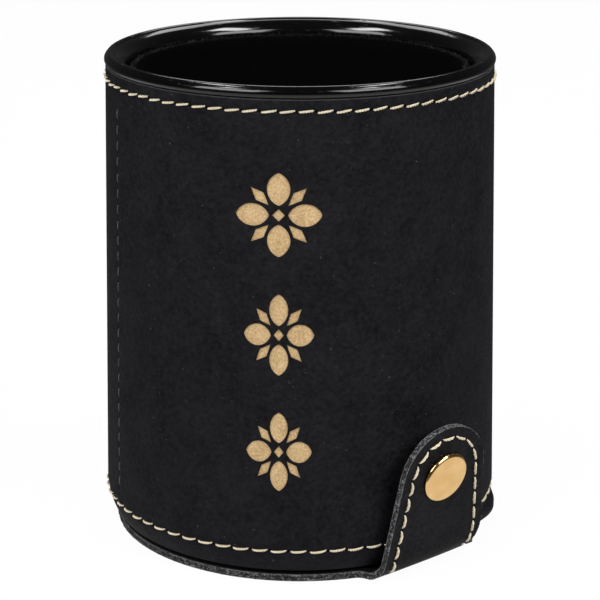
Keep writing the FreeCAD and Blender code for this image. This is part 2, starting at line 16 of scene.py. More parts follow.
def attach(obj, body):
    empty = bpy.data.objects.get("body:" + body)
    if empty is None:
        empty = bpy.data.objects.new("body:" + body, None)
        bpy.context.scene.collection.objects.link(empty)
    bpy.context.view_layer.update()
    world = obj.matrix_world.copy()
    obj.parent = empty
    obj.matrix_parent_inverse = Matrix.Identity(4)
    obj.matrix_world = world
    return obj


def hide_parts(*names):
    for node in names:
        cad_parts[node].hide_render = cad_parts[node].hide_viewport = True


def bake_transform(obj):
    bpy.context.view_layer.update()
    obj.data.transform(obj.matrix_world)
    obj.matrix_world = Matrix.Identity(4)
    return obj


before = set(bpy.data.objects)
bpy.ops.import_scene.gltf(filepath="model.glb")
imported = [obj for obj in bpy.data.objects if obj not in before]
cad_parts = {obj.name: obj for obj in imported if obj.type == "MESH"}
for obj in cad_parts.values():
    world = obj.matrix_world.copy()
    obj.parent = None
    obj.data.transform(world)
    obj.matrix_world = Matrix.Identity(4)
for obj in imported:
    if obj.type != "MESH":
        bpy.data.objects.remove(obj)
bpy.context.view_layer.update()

MM = 0.001

# Wrap
WRAP_BASE_RADIUS = 46.4
WRAP_TAPER = 0.02225
WRAP_BOTTOM = 2.8
WRAP_TOP = 108.8
HEM_START = 10.0
HEM_INSET = 2.0
SKIN_DEPTH = 0.22
RELIEF_DEPTH = 0.2
CORE_DEPTH = 0.9
WRAP_THICKNESS = 1.6
TOP_ROW = 106.3
BOTTOM_ROW = 8.3
TURNED_EDGE_RADIUS = 0.3
SKIN_LOW = WRAP_BOTTOM + TURNED_EDGE_RADIUS
SKIN_HIGH = WRAP_TOP - TURNED_EDGE_RADIUS
SEAM_AZIMUTH = -65.0
SEAM_PITCH = 3.6
SEAM_START = 14.0
SEAM_END = 103.0

# Stitches: count and first azimuth of each ring row, and how each thread is twisted
TOP_COUNT = 70
TOP_FIRST = 1.76
BOTTOM_COUNT = 67
BOTTOM_FIRST = -0.45
STITCH_GAP = 0.42
GROOVE_DEPTH = 0.10
GROOVE_HALF_WIDTH = 0.55
DIMPLE_DEPTH = 0.14
SEAM_GROOVE = 0.12
RING_THREAD = {"strands": 2, "twist": 0.85, "thin": 0.5}
FLAP_THREAD = {"strands": 3, "twist": 0.3, "thin": 0.7}
SEAM_THREAD = {"strands": 2, "twist": 1.2, "thin": 0.35}
STRAND_SHARES = {2: 0.43, 3: 0.5}

# Engraving
ORNAMENT_AZIMUTH = -5.8
ORNAMENT_HEIGHTS = (84.3, 58.0, 31.5)
ORNAMENT_WIDTHS = (18.4, 15.2, 14.4)
ORNAMENT_SIZE = 18.2

# Liner and lining
LIP_CREST = 111.5
LIP_UNDERSIDE = 109.1
LINER_INSIDE = 38.95
LINER_OUTSIDE = 41.6
COLLAR_BOTTOM = 99.0
FLOOR_TOP = 29.0
FLOOR_BOTTOM = 27.0
SPIGOT_RADIUS = 38.7
SPIGOT_INSIDE = 36.5
SPIGOT_BOTTOM = 25.0
FELT_THICKNESS = 1.6
FELT_FLOOR_TOP = 30.4
FELT_TOP = 108.0

# Flared hem beside the tongue
FLARE_AZIMUTH = 86.0
FLARE_HALF_WIDTH = 17.0
FLARE_START = 5.4
FLARE_REACH = 2.4
FLARE_PINCH = 0.8
FLARE_DROP = 1.9
FLARE_BURIES_THREAD = 0.3

# Flap
FLAP_AZIMUTH = 38.9
FLAP_RADIUS = 43.94
FLAP_PLY = 0.8
FLAP_THICKNESS = 1.6
FOLD_START = 43.0
FOLD_RADIUS = 5.0
LEAN = math.radians(8.0)
FOLD_TURN = math.pi / 2 - LEAN
FOLD_MIDDLE_RADIUS = FOLD_RADIUS - FLAP_THICKNESS / 2
FOLD_LENGTH = FOLD_MIDDLE_RADIUS * FOLD_TURN
TIP_RADIUS = 12.0
TIP_CENTRE_HEIGHT = 23.4
SIDE_ANGLE = math.radians(7.1)
LEFT_FILLET = 3.0
RIGHT_FILLET = 16.0
REAR_CUT = 41.2
ROW_INSET = 2.4
ROW_PITCH = 3.95
ROW_DEEP = 0.62
ROW_SHALLOW = 0.10
SHANK_HOLE_RADIUS = 1.65
TIP_TURN = 1.43
EDGE_BEVEL = 0.08
EDGE_FRAY = 0.07
EDGE_SEED = 5
CURL_LEFT = 0.5
CURL_RIGHT = 2.0
CURL_INWARD = 2.4
CURL_HALF_WIDTH = 17.0
CURL_SPREAD = 4.5

# Strap
STRAP_THICKNESS = 1.0
STRAP_SWEEP = 37.0
STRAP_TOP = 14.6
STRAP_LEG_INSIDE = 27.0
STRAP_BEND_RADIUS = 1.5

# Snap
SNAP_HEIGHT = 23.4
STUD_HEIGHT = 23.8
POST_HOLE_RADIUS = 1.65
CAP_RADIUS = 6.0
CAP_RIM = 5.4
CAP_EDGE = 1.10
CAP_CROWN = 0.22
CAP_TILT = math.radians(5.0)
SHANK_RADIUS = 1.6

# Camera
CAMERA_DISTANCE = 450.3
CAMERA_HEIGHT = 193.9
CAMERA_TILT = 17.52
CAMERA_LENS = 120.37

# Lights: places, sizes and distances in metres, angles in degrees and powers in watts
FLOOR_GLOW = 0.85
ROOM_GLOW = 0.05
SOFTBOX_AZIMUTH = 45.0
SOFTBOX_ELEVATION = 38.0
SOFTBOX_DISTANCE = 1.3
SOFTBOX_SIZE = (0.8, 0.7)
SOFTBOX_POWER = 11.0
OVERHEAD_PLACE = (0.36, -0.04, 0.82)
OVERHEAD_SIZE = (0.34, 0.12)
OVERHEAD_POWER = 2.2
REAR_PLACE = (0.0, 1.0, 1.1)
REAR_SIZE = (0.9, 0.5)
REAR_POWER = 5.0

# Floor: half its width, and the share of it that isn't clear
FLOOR_HALF_WIDTH = 900.0
FLOOR_SHARE = 0.04

# Meshes and textures
MERGE_DISTANCE = 1e-7
SHARP_ANGLE = math.radians(40.0)
HAIRLINE_DEPTH = 0.004


# ---------------------------------------------------------------- directions and surfaces


def direction(azimuth):
    """The level unit vector at an azimuth in degrees, as an array."""
    turn = math.radians(azimuth)
    return np.array([math.sin(turn), -math.cos(turn), 0.0])


OUT = direction(FLAP_AZIMUTH)
ALONG = direction(FLAP_AZIMUTH + 90)
UP = np.array([0.0, 0.0, 1.0])


def wrap_radius(height):
    """Outside radius of the wrap at a height or an array of heights."""
    height = np.asarray(height, float)
    curl = np.clip((HEM_START - height) / (HEM_START - WRAP_BOTTOM), 0, None)
    return WRAP_BASE_RADIUS - WRAP_TAPER * height - HEM_INSET * curl**2


def on_wrap(azimuth, height, lift=0.0):
    """Points on the wrap, lift above its outside. Azimuths are in degrees."""
    turn = np.radians(azimuth)
    radius = wrap_radius(height) + lift
    return np.stack([radius * np.sin(turn), -radius * np.cos(turn), height], axis=-1)


def flap_place(along, length, depth):
    """Points of the folded flap. Along and length are places on the flat pattern, across the
    tongue and out from the disc's centre, and depth is the height above its underside."""
    along, length, depth = np.broadcast_arrays(
        np.asarray(along, float), np.asarray(length, float), np.asarray(depth, float)
    )
    past = length - FOLD_START
    turn = np.clip(past / FOLD_MIDDLE_RADIUS, 0, FOLD_TURN)
    rest = np.clip(past - FOLD_LENGTH, 0, None)
    radius = FOLD_RADIUS - depth
    flat = np.minimum(past, 0)
    out = FOLD_START + flat + radius * np.sin(turn) + rest * math.sin(LEAN)
    height = FOLD_RADIUS - radius * np.cos(turn) + rest * math.cos(LEAN)
    near_fold = np.exp(-(((past - FOLD_LENGTH / 2) / CURL_SPREAD) ** 2))
    near_fold = near_fold * np.clip((past + 0.3) / 2.4, 0, 1)
    to_right = np.clip((along + CURL_HALF_WIDTH) / (2 * CURL_HALF_WIDTH), 0, 1)
    height = height + near_fold * (CURL_LEFT + (CURL_RIGHT - CURL_LEFT) * to_right**3)
    along = along - CURL_INWARD * near_fold * to_right**3
    return out[..., None] * OUT + along[..., None] * ALONG + height[..., None] * UP


def tongue_length(height):
    """Pattern length at which the tongue's outside reaches a height."""
    foot = FOLD_RADIUS * (1 - math.sin(LEAN))
    return FOLD_START + FOLD_LENGTH + (height - foot) / math.cos(LEAN)


# ---------------------------------------------------------------- mesh helpers


def finish_mesh(piece):
    """Joins doubled points, turns the faces outward and smooths all but the sharp edges."""
    mesh = piece.data
    work = bmesh.new()
    work.from_mesh(mesh)
    bmesh.ops.remove_doubles(work, verts=work.verts, dist=MERGE_DISTANCE)
    bmesh.ops.recalc_face_normals(work, faces=work.faces)
    work.to_mesh(mesh)
    work.free()
    mesh.shade_smooth()
    mesh.set_sharp_from_angle(angle=SHARP_ANGLE)
    return piece


def new_piece(name, points, faces, materials, face_materials=None):
    """A mesh piece from points in millimetres."""
    mesh = bpy.data.meshes.new(name)
    mesh.from_pydata((np.asarray(points, float) * MM).tolist(), [], faces)
    piece = bpy.data.objects.new(name, mesh)
    bpy.context.scene.collection.objects.link(piece)
    for material in materials:
        mesh.materials.append(material)
    if face_materials is not None:
        mesh.polygons.foreach_set("material_index", np.asarray(face_materials, np.int32))
    finish_mesh(piece)
    keep_rest_place(piece)
    return piece


def keep_rest_place(piece):
    """Stores each point's place at rest, so that a pattern stays on a piece that bends."""
    mesh = piece.data
    places = np.empty(len(mesh.vertices) * 3, np.float32)
    mesh.vertices.foreach_get("co", places)
    attribute = mesh.attributes.new("rest_place", "FLOAT_VECTOR", "POINT")
    attribute.data.foreach_set("vector", places)


def arc(start, middle, end, count=8):
    """Points of the arc through three (radius, height) points, without the last."""
    (ax, ay), (bx, by), (cx, cy) = start, middle, end
    d = 2 * (ax * (by - cy) + bx * (cy - ay) + cx * (ay - by))
    ux = (
        (ax**2 + ay**2) * (by - cy)
        + (bx**2 + by**2) * (cy - ay)
        + (cx**2 + cy**2) * (ay - by)
    ) / d
    uy = (
        (ax**2 + ay**2) * (cx - bx)
        + (bx**2 + by**2) * (ax - cx)
        + (cx**2 + cy**2) * (bx - ax)
    ) / d
    radius = math.hypot(ax - ux, ay - uy)
    angles = [math.atan2(y - uy, x - ux) for x, y in (start, middle, end)]
    first = (angles[1] - angles[0] + math.pi) % (2 * math.pi) - math.pi
    second = (angles[2] - angles[1] + math.pi) % (2 * math.pi) - math.pi
    steps = [angles[0] + (first + second) * i / count for i in range(count)]
    return [(ux + radius * math.cos(a), uy + radius * math.sin(a)) for a in steps]


def line(start, end, count=1):
    """Points of a straight line, without the last."""
    return [
        (
            start[0] + (end[0] - start[0]) * i / count,
            start[1] + (end[1] - start[1]) * i / count,
        )
        for i in range(count)
    ]


def turned_piece(name, profile, material, segments=288, frame_axes=None, relief=None):
    """A closed profile of (radius, height) points turned about an axis. The axes are a base
    point and three unit vectors, and relief moves the radius by azimuth and height."""
    profile = np.array(profile, float)
    turns = np.linspace(0, 2 * math.pi, segments, endpoint=False)
    radius = np.repeat(profile[None, :, 0], segments, axis=0)
    height = np.repeat(profile[None, :, 1], segments, axis=0)
    if relief is not None:
        radius = radius + relief(turns[:, None], height)
    if frame_axes is None:
        base, first, second, axis = np.zeros(3), -np.array([0.0, 1, 0]), np.array([1.0, 0, 0]), UP
    else:
        base, first, second, axis = frame_axes
    level = radius * np.cos(turns)[:, None], radius * np.sin(turns)[:, None]
    points = (
        base
        + level[0][..., None] * first
        + level[1][..., None] * second
        + height[..., None] * axis
    )
    count = len(profile)
    faces = []
    for i in range(segments):
        j = (i + 1) % segments
        for k in range(count):
            m = (k + 1) % count
            faces.append((i * count + k, j * count + k, j * count + m, i * count + m))
    return new_piece(name, points.reshape(-1, 3), faces, [material])


def inside_loop(points, loop):
    """Which of the points lie inside a closed loop, both as (x, y) arrays."""
    x, y = points[:, 0], points[:, 1]
    hit = np.zeros(len(points), bool)
    loop = np.asarray(loop)
    for (ax, ay), (bx, by) in zip(loop, np.roll(loop, -1, axis=0)):
        crosses = (ay > y) != (by > y)
        if ay != by:
            reach = ax + (y - ay) * (bx - ax) / (by - ay)
            hit ^= crosses & (x < reach)
    return hit


def triangulated(fill_points, loops):
    """Triangles of a flat region. Loops are closed outlines whose points and edges are kept.
    Returns the points and the triangles."""
    points = [tuple(p) for p in fill_points]
    edges = []
    for loop in loops:
        start = len(points)
        points += [tuple(p) for p in loop]
        edges += [(start + i, start + (i + 1) % len(loop)) for i in range(len(loop))]
    result = geometry.delaunay_2d_cdt([Vector(p) for p in points], edges, [], 0, 1e-5)
    return np.array([tuple(p) for p in result[0]]), [tuple(f) for f in result[2]]


def plate_piece(name, loops, fill, low, high, place, materials, relief=None):
    """A thin plate cut from flat stock and then shaped. The first loop is its outline and the
    others are holes. Low and high are its two depths, and place maps (x, y, depth) arrays to
    points. Relief gives an offset of the low side. The edge is bevelled and a little frayed, and
    takes the second material."""
    inset_loops = [
        shrunk(loop, EDGE_BEVEL if i == 0 else -EDGE_BEVEL) for i, loop in enumerate(loops)
    ]
    flat, triangles = triangulated(fill, inset_loops)
    middles = flat[np.array(triangles)].mean(axis=1)
    keep = inside_loop(middles, inset_loops[0])
    for loop in inset_loops[1:]:
        keep &= ~inside_loop(middles, loop)
    triangles = [triangle for triangle, kept in zip(triangles, keep) if kept]
    low_depth = low + (relief(flat) if relief is not None else np.zeros(len(flat)))
    levels = [place(flat[:, 0], flat[:, 1], low_depth), place(flat[:, 0], flat[:, 1], high)]
    depths = [low_depth, np.full(len(flat), float(high))]
    count = len(flat)
    rng = np.random.RandomState(EDGE_SEED)
    faces = [tuple(t) for t in triangles]
    faces += [(c + count, b + count, a + count) for a, b, c in triangles]
    kinds = [0] * len(faces)
    offset = 2 * count
    for loop, inset in zip(loops, inset_loops):
        frayed = [shrunk(loop, rng.normal(0, EDGE_FRAY, (len(loop), 1))) for _ in range(3)]
        sections = [
            (inset, low),
            (frayed[0], low + EDGE_BEVEL),
            (frayed[1], (low + high) / 2),
            (frayed[2], high - EDGE_BEVEL),
            (inset, high),
        ]
        size = len(loop)
        for section, depth in sections:
            section = np.asarray(section)
            levels.append(place(section[:, 0], section[:, 1], depth))
            depths.append(np.full(size, float(depth)))
        for row in range(len(sections) - 1):
            for i in range(size):
                j = (i + 1) % size
                a, b = offset + row * size + i, offset + row * size + j
                faces.append((a, b, b + size, a + size))
                kinds.append(1)
        offset += len(sections) * size
    mesh_points = np.concatenate([level.reshape(-1, 3) for level in levels])
    piece = new_piece(name, mesh_points, faces, materials, kinds)
    store_depth(piece, mesh_points, np.concatenate(depths))
    return piece


def store_depth(piece, points, depths):
    """Keeps each point's depth in the plate as an attribute, for the edge's layers."""
    tree = KDTree(len(points))
    for index, point in enumerate(points * MM):
        tree.insert(point, index)
    tree.balance()
    mesh = piece.data
    values = [depths[tree.find(vertex.co)[1]] for vertex in mesh.vertices]
    attribute = mesh.attributes.new("depth", "FLOAT", "POINT")
    attribute.data.foreach_set("value", np.array(values, np.float32))


def shrunk(loop, distance):
    """A closed loop moved inward by a distance. The loop runs anticlockwise."""
    loop = np.asarray(loop, float)
    along = np.roll(loop, -1, axis=0) - np.roll(loop, 1, axis=0)
    along /= np.linalg.norm(along, axis=1)[:, None]
    return loop + distance * np.stack([-along[:, 1], along[:, 0]], axis=1)


def joined(name, parts, materials):
    """One piece from several (points, faces) parts."""
    points, faces, offset = [], [], 0
    for part_points, part_faces in parts:
        points.append(part_points)
        faces += [tuple(index + offset for index in face) for face in part_faces]
        offset += len(part_points)
    return new_piece(name, np.concatenate(points), faces, materials)


def tube(centres, across, lift, radius, sides):
    """Points and faces of a closed tube round a line of centres. Across and lift are two unit
    vectors, or arrays of them, that span its sections, and radius may vary along it."""
    turns = np.linspace(0, 2 * math.pi, sides, endpoint=False)
    radius = np.broadcast_to(radius, len(centres))[:, None, None]
    across = np.broadcast_to(across, centres.shape)[:, None, :]
    lift = np.broadcast_to(lift, centres.shape)[:, None, :]
    rings = centres[:, None, :] + radius * (
        np.cos(turns)[None, :, None] * across + np.sin(turns)[None, :, None] * lift
    )
    faces = []
    for ring in range(len(centres) - 1):
        for side in range(sides):
            following = (side + 1) % sides
            a, b = ring * sides + side, ring * sides + following
            faces.append((a, b, b + sides, a + sides))
    faces.append(tuple(range(sides))[::-1])
    last = (len(centres) - 1) * sides
    faces.append(tuple(range(last, last + sides)))
    return rings.reshape(-1, 3), faces


def thread_parts(place, length, radius, rng, slant, bow, strands, twist, thin):
    """Parts of one stitch of twisted thread. Place maps arrays of (along, across, lift), in mm
    from the stitch's middle, to points. Twist is in turns for each mm, and thin is the share of
    its thickness that it loses at its ends."""
    steps = np.linspace(-1, 1, 17)
    half = length / 2
    slant = slant + rng.normal(0, 0.03)
    bow = bow + rng.normal(0, 0.02)
    crown = radius * (1 - np.abs(steps) ** 3.2) + 0.02 - 0.35 * np.abs(steps) ** 9
    across = slant * steps + bow * (1 - steps**2)
    phase = rng.uniform(0, 2 * math.pi)
    strand_radius = radius * STRAND_SHARES[strands]
    swirl_radius = radius - strand_radius
    taper = 1 - thin * np.abs(steps) ** 3
    parts = []
    for strand in range(strands):
        swirl = phase + 2 * math.pi * (strand / strands + twist * steps * half)
        side = across + swirl_radius * np.cos(swirl) * taper
        rise = crown + swirl_radius * np.sin(swirl) * taper
        centres = place(steps * half, side, rise)
        step = 0.05
        right = place(steps * half, side + step, rise) - centres
        above = place(steps * half, side, rise + step) - centres
        right /= np.linalg.norm(right, axis=1)[:, None]
        above /= np.linalg.norm(above, axis=1)[:, None]
        parts.append(tube(centres, right, above, strand_radius * taper, 8))
    return parts


def hole_part(place, length, width):
    """Points and faces of one needle hole: a shallow dish set in the surface, which takes a near-black
    material as painted shade inside the hole.
    """
    turns = np.linspace(0, 2 * math.pi, 12, endpoint=False)
    rim_along, rim_across = length / 2 * np.cos(turns), width / 2 * np.sin(turns)
    upper = place(rim_along, rim_across, np.full(12, 0.03))
    lower = place(rim_along * 0.7, rim_across * 0.7, np.full(12, -0.10))
    faces = [tuple(range(12)), tuple(range(12, 24))[::-1]]
    for i in range(12):
        j = (i + 1) % 12
        faces.append((i, 12 + i, 12 + j, j))
    return np.concatenate([upper, lower]), faces


# ---------------------------------------------------------------- materials


def tone(red, green, blue):
    """A colour by its value on screen, from 0 to 255 for each channel."""

    def linear(value):
        value /= 255
        return value / 12.92 if value <= 0.04045 else ((value + 0.055) / 1.055) ** 2.4

    return (linear(red), linear(green), linear(blue), 1.0)


class Finish:
    """Builds one material. Patterns follow each point's place at rest, in metres."""

    def __init__(self, name, carried=False):
        self.material = bpy.data.materials.new(name)
        self.material.use_nodes = True
        self.tree = self.material.node_tree
        self.shader = self.tree.nodes["Principled BSDF"]
        if carried:
            self.place = self.add("ShaderNodeTexCoord").outputs["Object"]
        else:
            source = self.add("ShaderNodeAttribute", attribute_name="rest_place")
            self.place = source.outputs["Vector"]

    def add(self, kind, inputs=None, **settings):
        node = self.tree.nodes.new(kind)
        for key, value in settings.items():
            setattr(node, key, value)
        for key, value in (inputs or {}).items():
            self.put(node, key, value)
        return node

    def put(self, node, key, value):
        if isinstance(value, bpy.types.NodeSocket):
            self.tree.links.new(value, node.inputs[key])
        else:
            node.inputs[key].default_value = value

    def set(self, **values):
        """Sets the surface shader's sockets, with _ for a space in their names."""
        for key, value in values.items():
            self.put(self.shader, key.replace("_", " "), value)

    def noise(self, size, detail=3.0, roughness=0.5, vector=None, stretch=None):
        """Noise whose features are about this many mm across, from 0 to 1."""
        source = vector or self.place
        if stretch is not None:
            source = self.add(
                "ShaderNodeVectorMath", {0: source, 1: stretch}, operation="MULTIPLY"
            ).outputs["Vector"]
        inputs = {
            "Vector": source,
            "Scale": 1 / (size * MM),
            "Detail": detail,
            "Roughness": roughness,
        }
        return self.add("ShaderNodeTexNoise", inputs).outputs["Fac"]

    def cells(self, size, feature="F1", output="Distance"):
        inputs = {"Vector": self.place, "Scale": 1 / (size * MM)}
        return self.add("ShaderNodeTexVoronoi", inputs, feature=feature).outputs[output]

    def map(self, value, low, high, start=0.0, end=1.0):
        inputs = {"Value": value, "From Min": start, "From Max": end, "To Min": low, "To Max": high}
        return self.add("ShaderNodeMapRange", inputs).outputs["Result"]

    def math(self, operation, first, second=0.0):
        return self.add("ShaderNodeMath", {0: first, 1: second}, operation=operation).outputs[0]

    def blend(self, factor, first, second):
        """A colour between two others."""
        node = self.add("ShaderNodeMix", data_type="RGBA")
        colours = [socket for socket in node.inputs if socket.type == "RGBA"]
        self.tree.links.new(factor, node.inputs[0])
        for socket, value in zip(colours, (first, second)):
            if isinstance(value, bpy.types.NodeSocket):
                self.tree.links.new(value, socket)
            else:
                socket.default_value = value
        return [socket for socket in node.outputs if socket.type == "RGBA"][0]

    def bump(self, height, depth, strength=1.0, normal=None):
        """Bump whose height of 0 to 1 is this many mm deep."""
        inputs = {"Height": height, "Strength": strength, "Distance": depth * MM}
        if normal is not None:
            inputs["Normal"] = normal
        return self.add("ShaderNodeBump", inputs).outputs["Normal"]


def leather(name, dark, light, grain_depth=0.05, roughness=(0.52, 0.72)):
    """Grained leatherette: pebbles, fine pores, a slow change of tone and a few pale flecks, with
    painted highlights that lighten its creases and raised pebbles.
    """
    finish = Finish(name)
    pebbles = finish.cells(0.75, "SMOOTH_F1")
    pores = finish.noise(0.18, 2.0)
    creases = finish.noise(2.2, 5.0, 0.62)
    height = finish.math("ADD", pebbles, finish.math("MULTIPLY", pores, 0.35))
    height = finish.math("ADD", height, finish.math("MULTIPLY", creases, 1.6))
    patches = finish.noise(9.0, 5.0, 0.65)
    # Painted highlight: a lighter tone along a noise of creases and on the raised pebbles, where light
    # would catch the grain.
    painted_crease_highlight = finish.map(finish.noise(1.2, 4.0, 0.7), 0.0, 1.0, 0.36, 0.66)
    painted_grain_highlight = finish.math("MULTIPLY", finish.math("ADD", painted_crease_highlight, pebbles), 0.55)
    factor = finish.math("ADD", finish.map(patches, -0.15, 0.35, 0.3, 0.7), painted_grain_highlight)
    flecks = finish.map(finish.noise(0.7, 2.0, 0.6), 0.0, 1.0, 0.72, 0.78)
    skin_tone = finish.blend(factor, dark, light)
    finish.set(
        Base_Color=finish.blend(flecks, skin_tone, tone(96, 96, 98)),
        Roughness=finish.map(finish.math("ADD", pores, pebbles), *roughness, 0.3, 1.1),
        Specular_IOR_Level=0.11,
        Normal=finish.bump(height, grain_depth),
    )
    return finish.material


def cut_edge(name, thickness, skin_tone, fibre_tone):
    """The cut edge of a plate: a light line of skin on each side, which is a painted highlight, and
    speckled fibres between.
    The depth attribute says how deep in the plate a point lies."""
    finish = Finish(name)
    depth = finish.add("ShaderNodeAttribute", attribute_name="depth").outputs["Fac"]
    wander = finish.map(finish.noise(0.5, 2.0), -0.10, 0.10, 0.3, 0.7)
    middle = finish.math("SUBTRACT", finish.math("ADD", depth, wander), thickness / 2)
    distance = finish.math("ABSOLUTE", middle)
    # Painted highlight: a light line in skin_tone along each smooth skin of the edge, broken into
    # patches by noise.
    skin = finish.map(distance, 0.0, 1.0, thickness / 2 - 0.26, thickness / 2 - 0.14)
    fibres = finish.noise(0.55, 3.0, 0.8)
    speckled = finish.blend(finish.map(fibres, 0.0, 1.0, 0.51, 0.62), tone(3, 3, 4), fibre_tone)
    skin_highlight_patches = finish.map(finish.noise(1.0, 3.0, 0.7), 0.15, 1.0, 0.40, 0.60)
    skin = finish.math("MULTIPLY", skin, skin_highlight_patches)
    finish.set(
        Base_Color=finish.blend(skin, speckled, skin_tone),
        Roughness=0.75,
        Normal=finish.bump(fibres, 0.15),
    )
    return finish.material


def thread(name, shade, light):
    """Waxed thread: fine fibres along it and a slight change of tone between stitches."""
    finish = Finish(name)
    fibres = finish.noise(0.10, 2.0)
    patches = finish.noise(3.0, 2.0)
    slow = finish.math("MULTIPLY", patches, 0.5)
    factor = finish.math("ADD", finish.map(fibres, 0.0, 0.6, 0.3, 0.7), slow)
    finish.set(
        Base_Color=finish.blend(factor, shade, light),
        Roughness=finish.map(fibres, 0.45, 0.7),
        Specular_IOR_Level=0.4,
        Sheen_Weight=0.15,
        Normal=finish.bump(fibres, 0.03),
    )
    return finish.material


def felt_cloth(name, dark, light, sheen=0.02):
    """Pressed felt: matted fibres with a soft nap."""
    finish = Finish(name)
    clumps = finish.noise(1.3, 5.0, 0.7)
    fibres = finish.noise(0.25, 4.0, 0.75, stretch=(1.0, 1.0, 0.45))
    height = finish.math("ADD", clumps, fibres)
    finish.set(
        Base_Color=finish.blend(finish.map(height, 0.0, 1.0, 0.7, 1.3), dark, light),
        Roughness=finish.map(fibres, 0.9, 1.0),
        Specular_IOR_Level=0.05,
        Sheen_Weight=sheen,
        Sheen_Roughness=0.5,
        Normal=finish.bump(height, 0.35),
    )
    return finish.material


def moulded(name, dark, light, roughness, scratch=0.012, carried=False):
    """Moulded plastic: slight waves, hairline scratches and dull spots."""
    finish = Finish(name, carried)
    waves = finish.noise(9.0, 1.0)
    hairlines = finish.noise(0.35, 2.0, 0.6, stretch=(0.12, 0.12, 1.0))
    lines = finish.map(hairlines, 0.0, 0.8, 0.65, 0.72)
    spots = finish.noise(0.7, 3.0, 0.7)
    rough = finish.map(spots, roughness[0], roughness[1], 0.35, 0.7)
    normal = finish.bump(waves, 0.02)
    finish.set(
        Base_Color=finish.blend(lines, dark, light),
        Roughness=finish.math("ADD", rough, finish.math("MULTIPLY", lines, 0.25)),
        Specular_IOR_Level=0.5,
        Normal=finish.bump(lines, scratch, normal=normal),
    )
    return finish.material


def metal(name, low, high, roughness, carried=False):
    """Plated metal: faint smears, and hairlines from wear."""
    finish = Finish(name, carried)
    smears = finish.noise(4.5, 2.0, 0.5)
    lines = finish.noise(0.12, 3.0, 0.6, stretch=(1.0, 0.2, 0.35))
    finish.set(
        Base_Color=finish.blend(finish.map(smears, 0.0, 1.0, 0.3, 0.7), low, high),
        Metallic=1.0,
        Roughness=finish.map(finish.math("ADD", smears, lines), *roughness, 0.6, 1.4),
        Normal=finish.bump(lines, HAIRLINE_DEPTH),
    )
    return finish.material


def engraved_core(name, dark, light):
    """The gilt board under the skin: matt, with the fine raster that engraving leaves."""
    finish = Finish(name)
    grain = finish.noise(0.45, 3.0, 0.8)
    raster = finish.noise(0.22, 1.0, stretch=(0.05, 0.05, 1.0))
    patches = finish.noise(3.5, 3.0)
    speckle = finish.map(grain, -0.1, 0.9, 0.34, 0.66)
    factor = finish.math("ADD", speckle, finish.map(patches, -0.1, 0.3, 0.3, 0.7))
    finish.set(
        Base_Color=finish.blend(factor, dark, light),
        Metallic=0.25,
        Roughness=0.55,
        Normal=finish.bump(finish.math("ADD", grain, raster), 0.03),
    )
    return finish.material


black_leather = leather("black_leatherette", tone(3, 3, 5), tone(30, 30, 34), 0.12)
flap_leather = leather("flap_leatherette", tone(5, 5, 7), tone(36, 36, 39), 0.14)
strap_leather = leather("strap_leatherette", tone(18, 18, 19), tone(34, 34, 36), 0.10)
# The cut edge's first tone is the painted highlight along its two skin lines.
flap_edge = cut_edge("flap_cut_edge", FLAP_THICKNESS, tone(104, 104, 106), tone(128, 128, 130))
# Painted highlight: the turned-over part of the black skin takes this lighter grey leather, as a light
# line along the wrap's top and bottom edges.
wrap_edge_highlight = leather("wrap_edge_painted_highlight", tone(48, 48, 50), tone(78, 78, 80), 0.05, (0.40, 0.55))
gilt = engraved_core("gold_core", tone(190, 154, 106), tone(238, 206, 156))
backing_cloth = felt_cloth("wrap_backing", tone(18, 18, 19), tone(40, 40, 42))
cream = thread("cream_thread", tone(206, 184, 148), tone(255, 246, 222))
black_cotton = thread("black_thread", tone(40, 40, 42), tone(120, 120, 124))
# Painted shade: the needle holes are shallow dishes coloured near-black for the shade inside a hole.
hole_painted_shade = felt_cloth("needle_hole", tone(4, 4, 4), tone(10, 9, 8))
# Black felt, made darker than felt is, as painted shade inside the cup.
felt_black_painted_shade = felt_cloth("felt", tone(1, 1, 1), tone(5, 5, 5), 0.0)
# Painted highlight: the felt's loose edge fibres take a lighter grey than the felt itself.
felt_nap_painted_highlight = felt_cloth("felt_nap_painted_highlight", tone(30, 30, 30), tone(70, 70, 70), 0.1)
liner_plastic = moulded("liner_plastic", tone(3, 3, 3), tone(12, 12, 12), (0.09, 0.14), 0.006)
ring_plastic = moulded("ring_plastic", tone(16, 16, 17), tone(40, 40, 42), (0.30, 0.42), carried=True)
gold = metal("gold_metal", tone(232, 188, 124), tone(244, 204, 144), (0.12, 0.17))
brass = metal("snap_metal", tone(196, 160, 104), tone(224, 190, 132), (0.22, 0.36), carried=True)


# ---------------------------------------------------------------- wrap


def row_azimuths(count, first):
    """Azimuths of a ring row's stitches, in degrees."""
    return first + 360.0 * np.arange(count) / count


TOP_AZIMUTHS = row_azimuths(TOP_COUNT, TOP_FIRST)
BOTTOM_AZIMUTHS = row_azimuths(BOTTOM_COUNT, BOTTOM_FIRST)

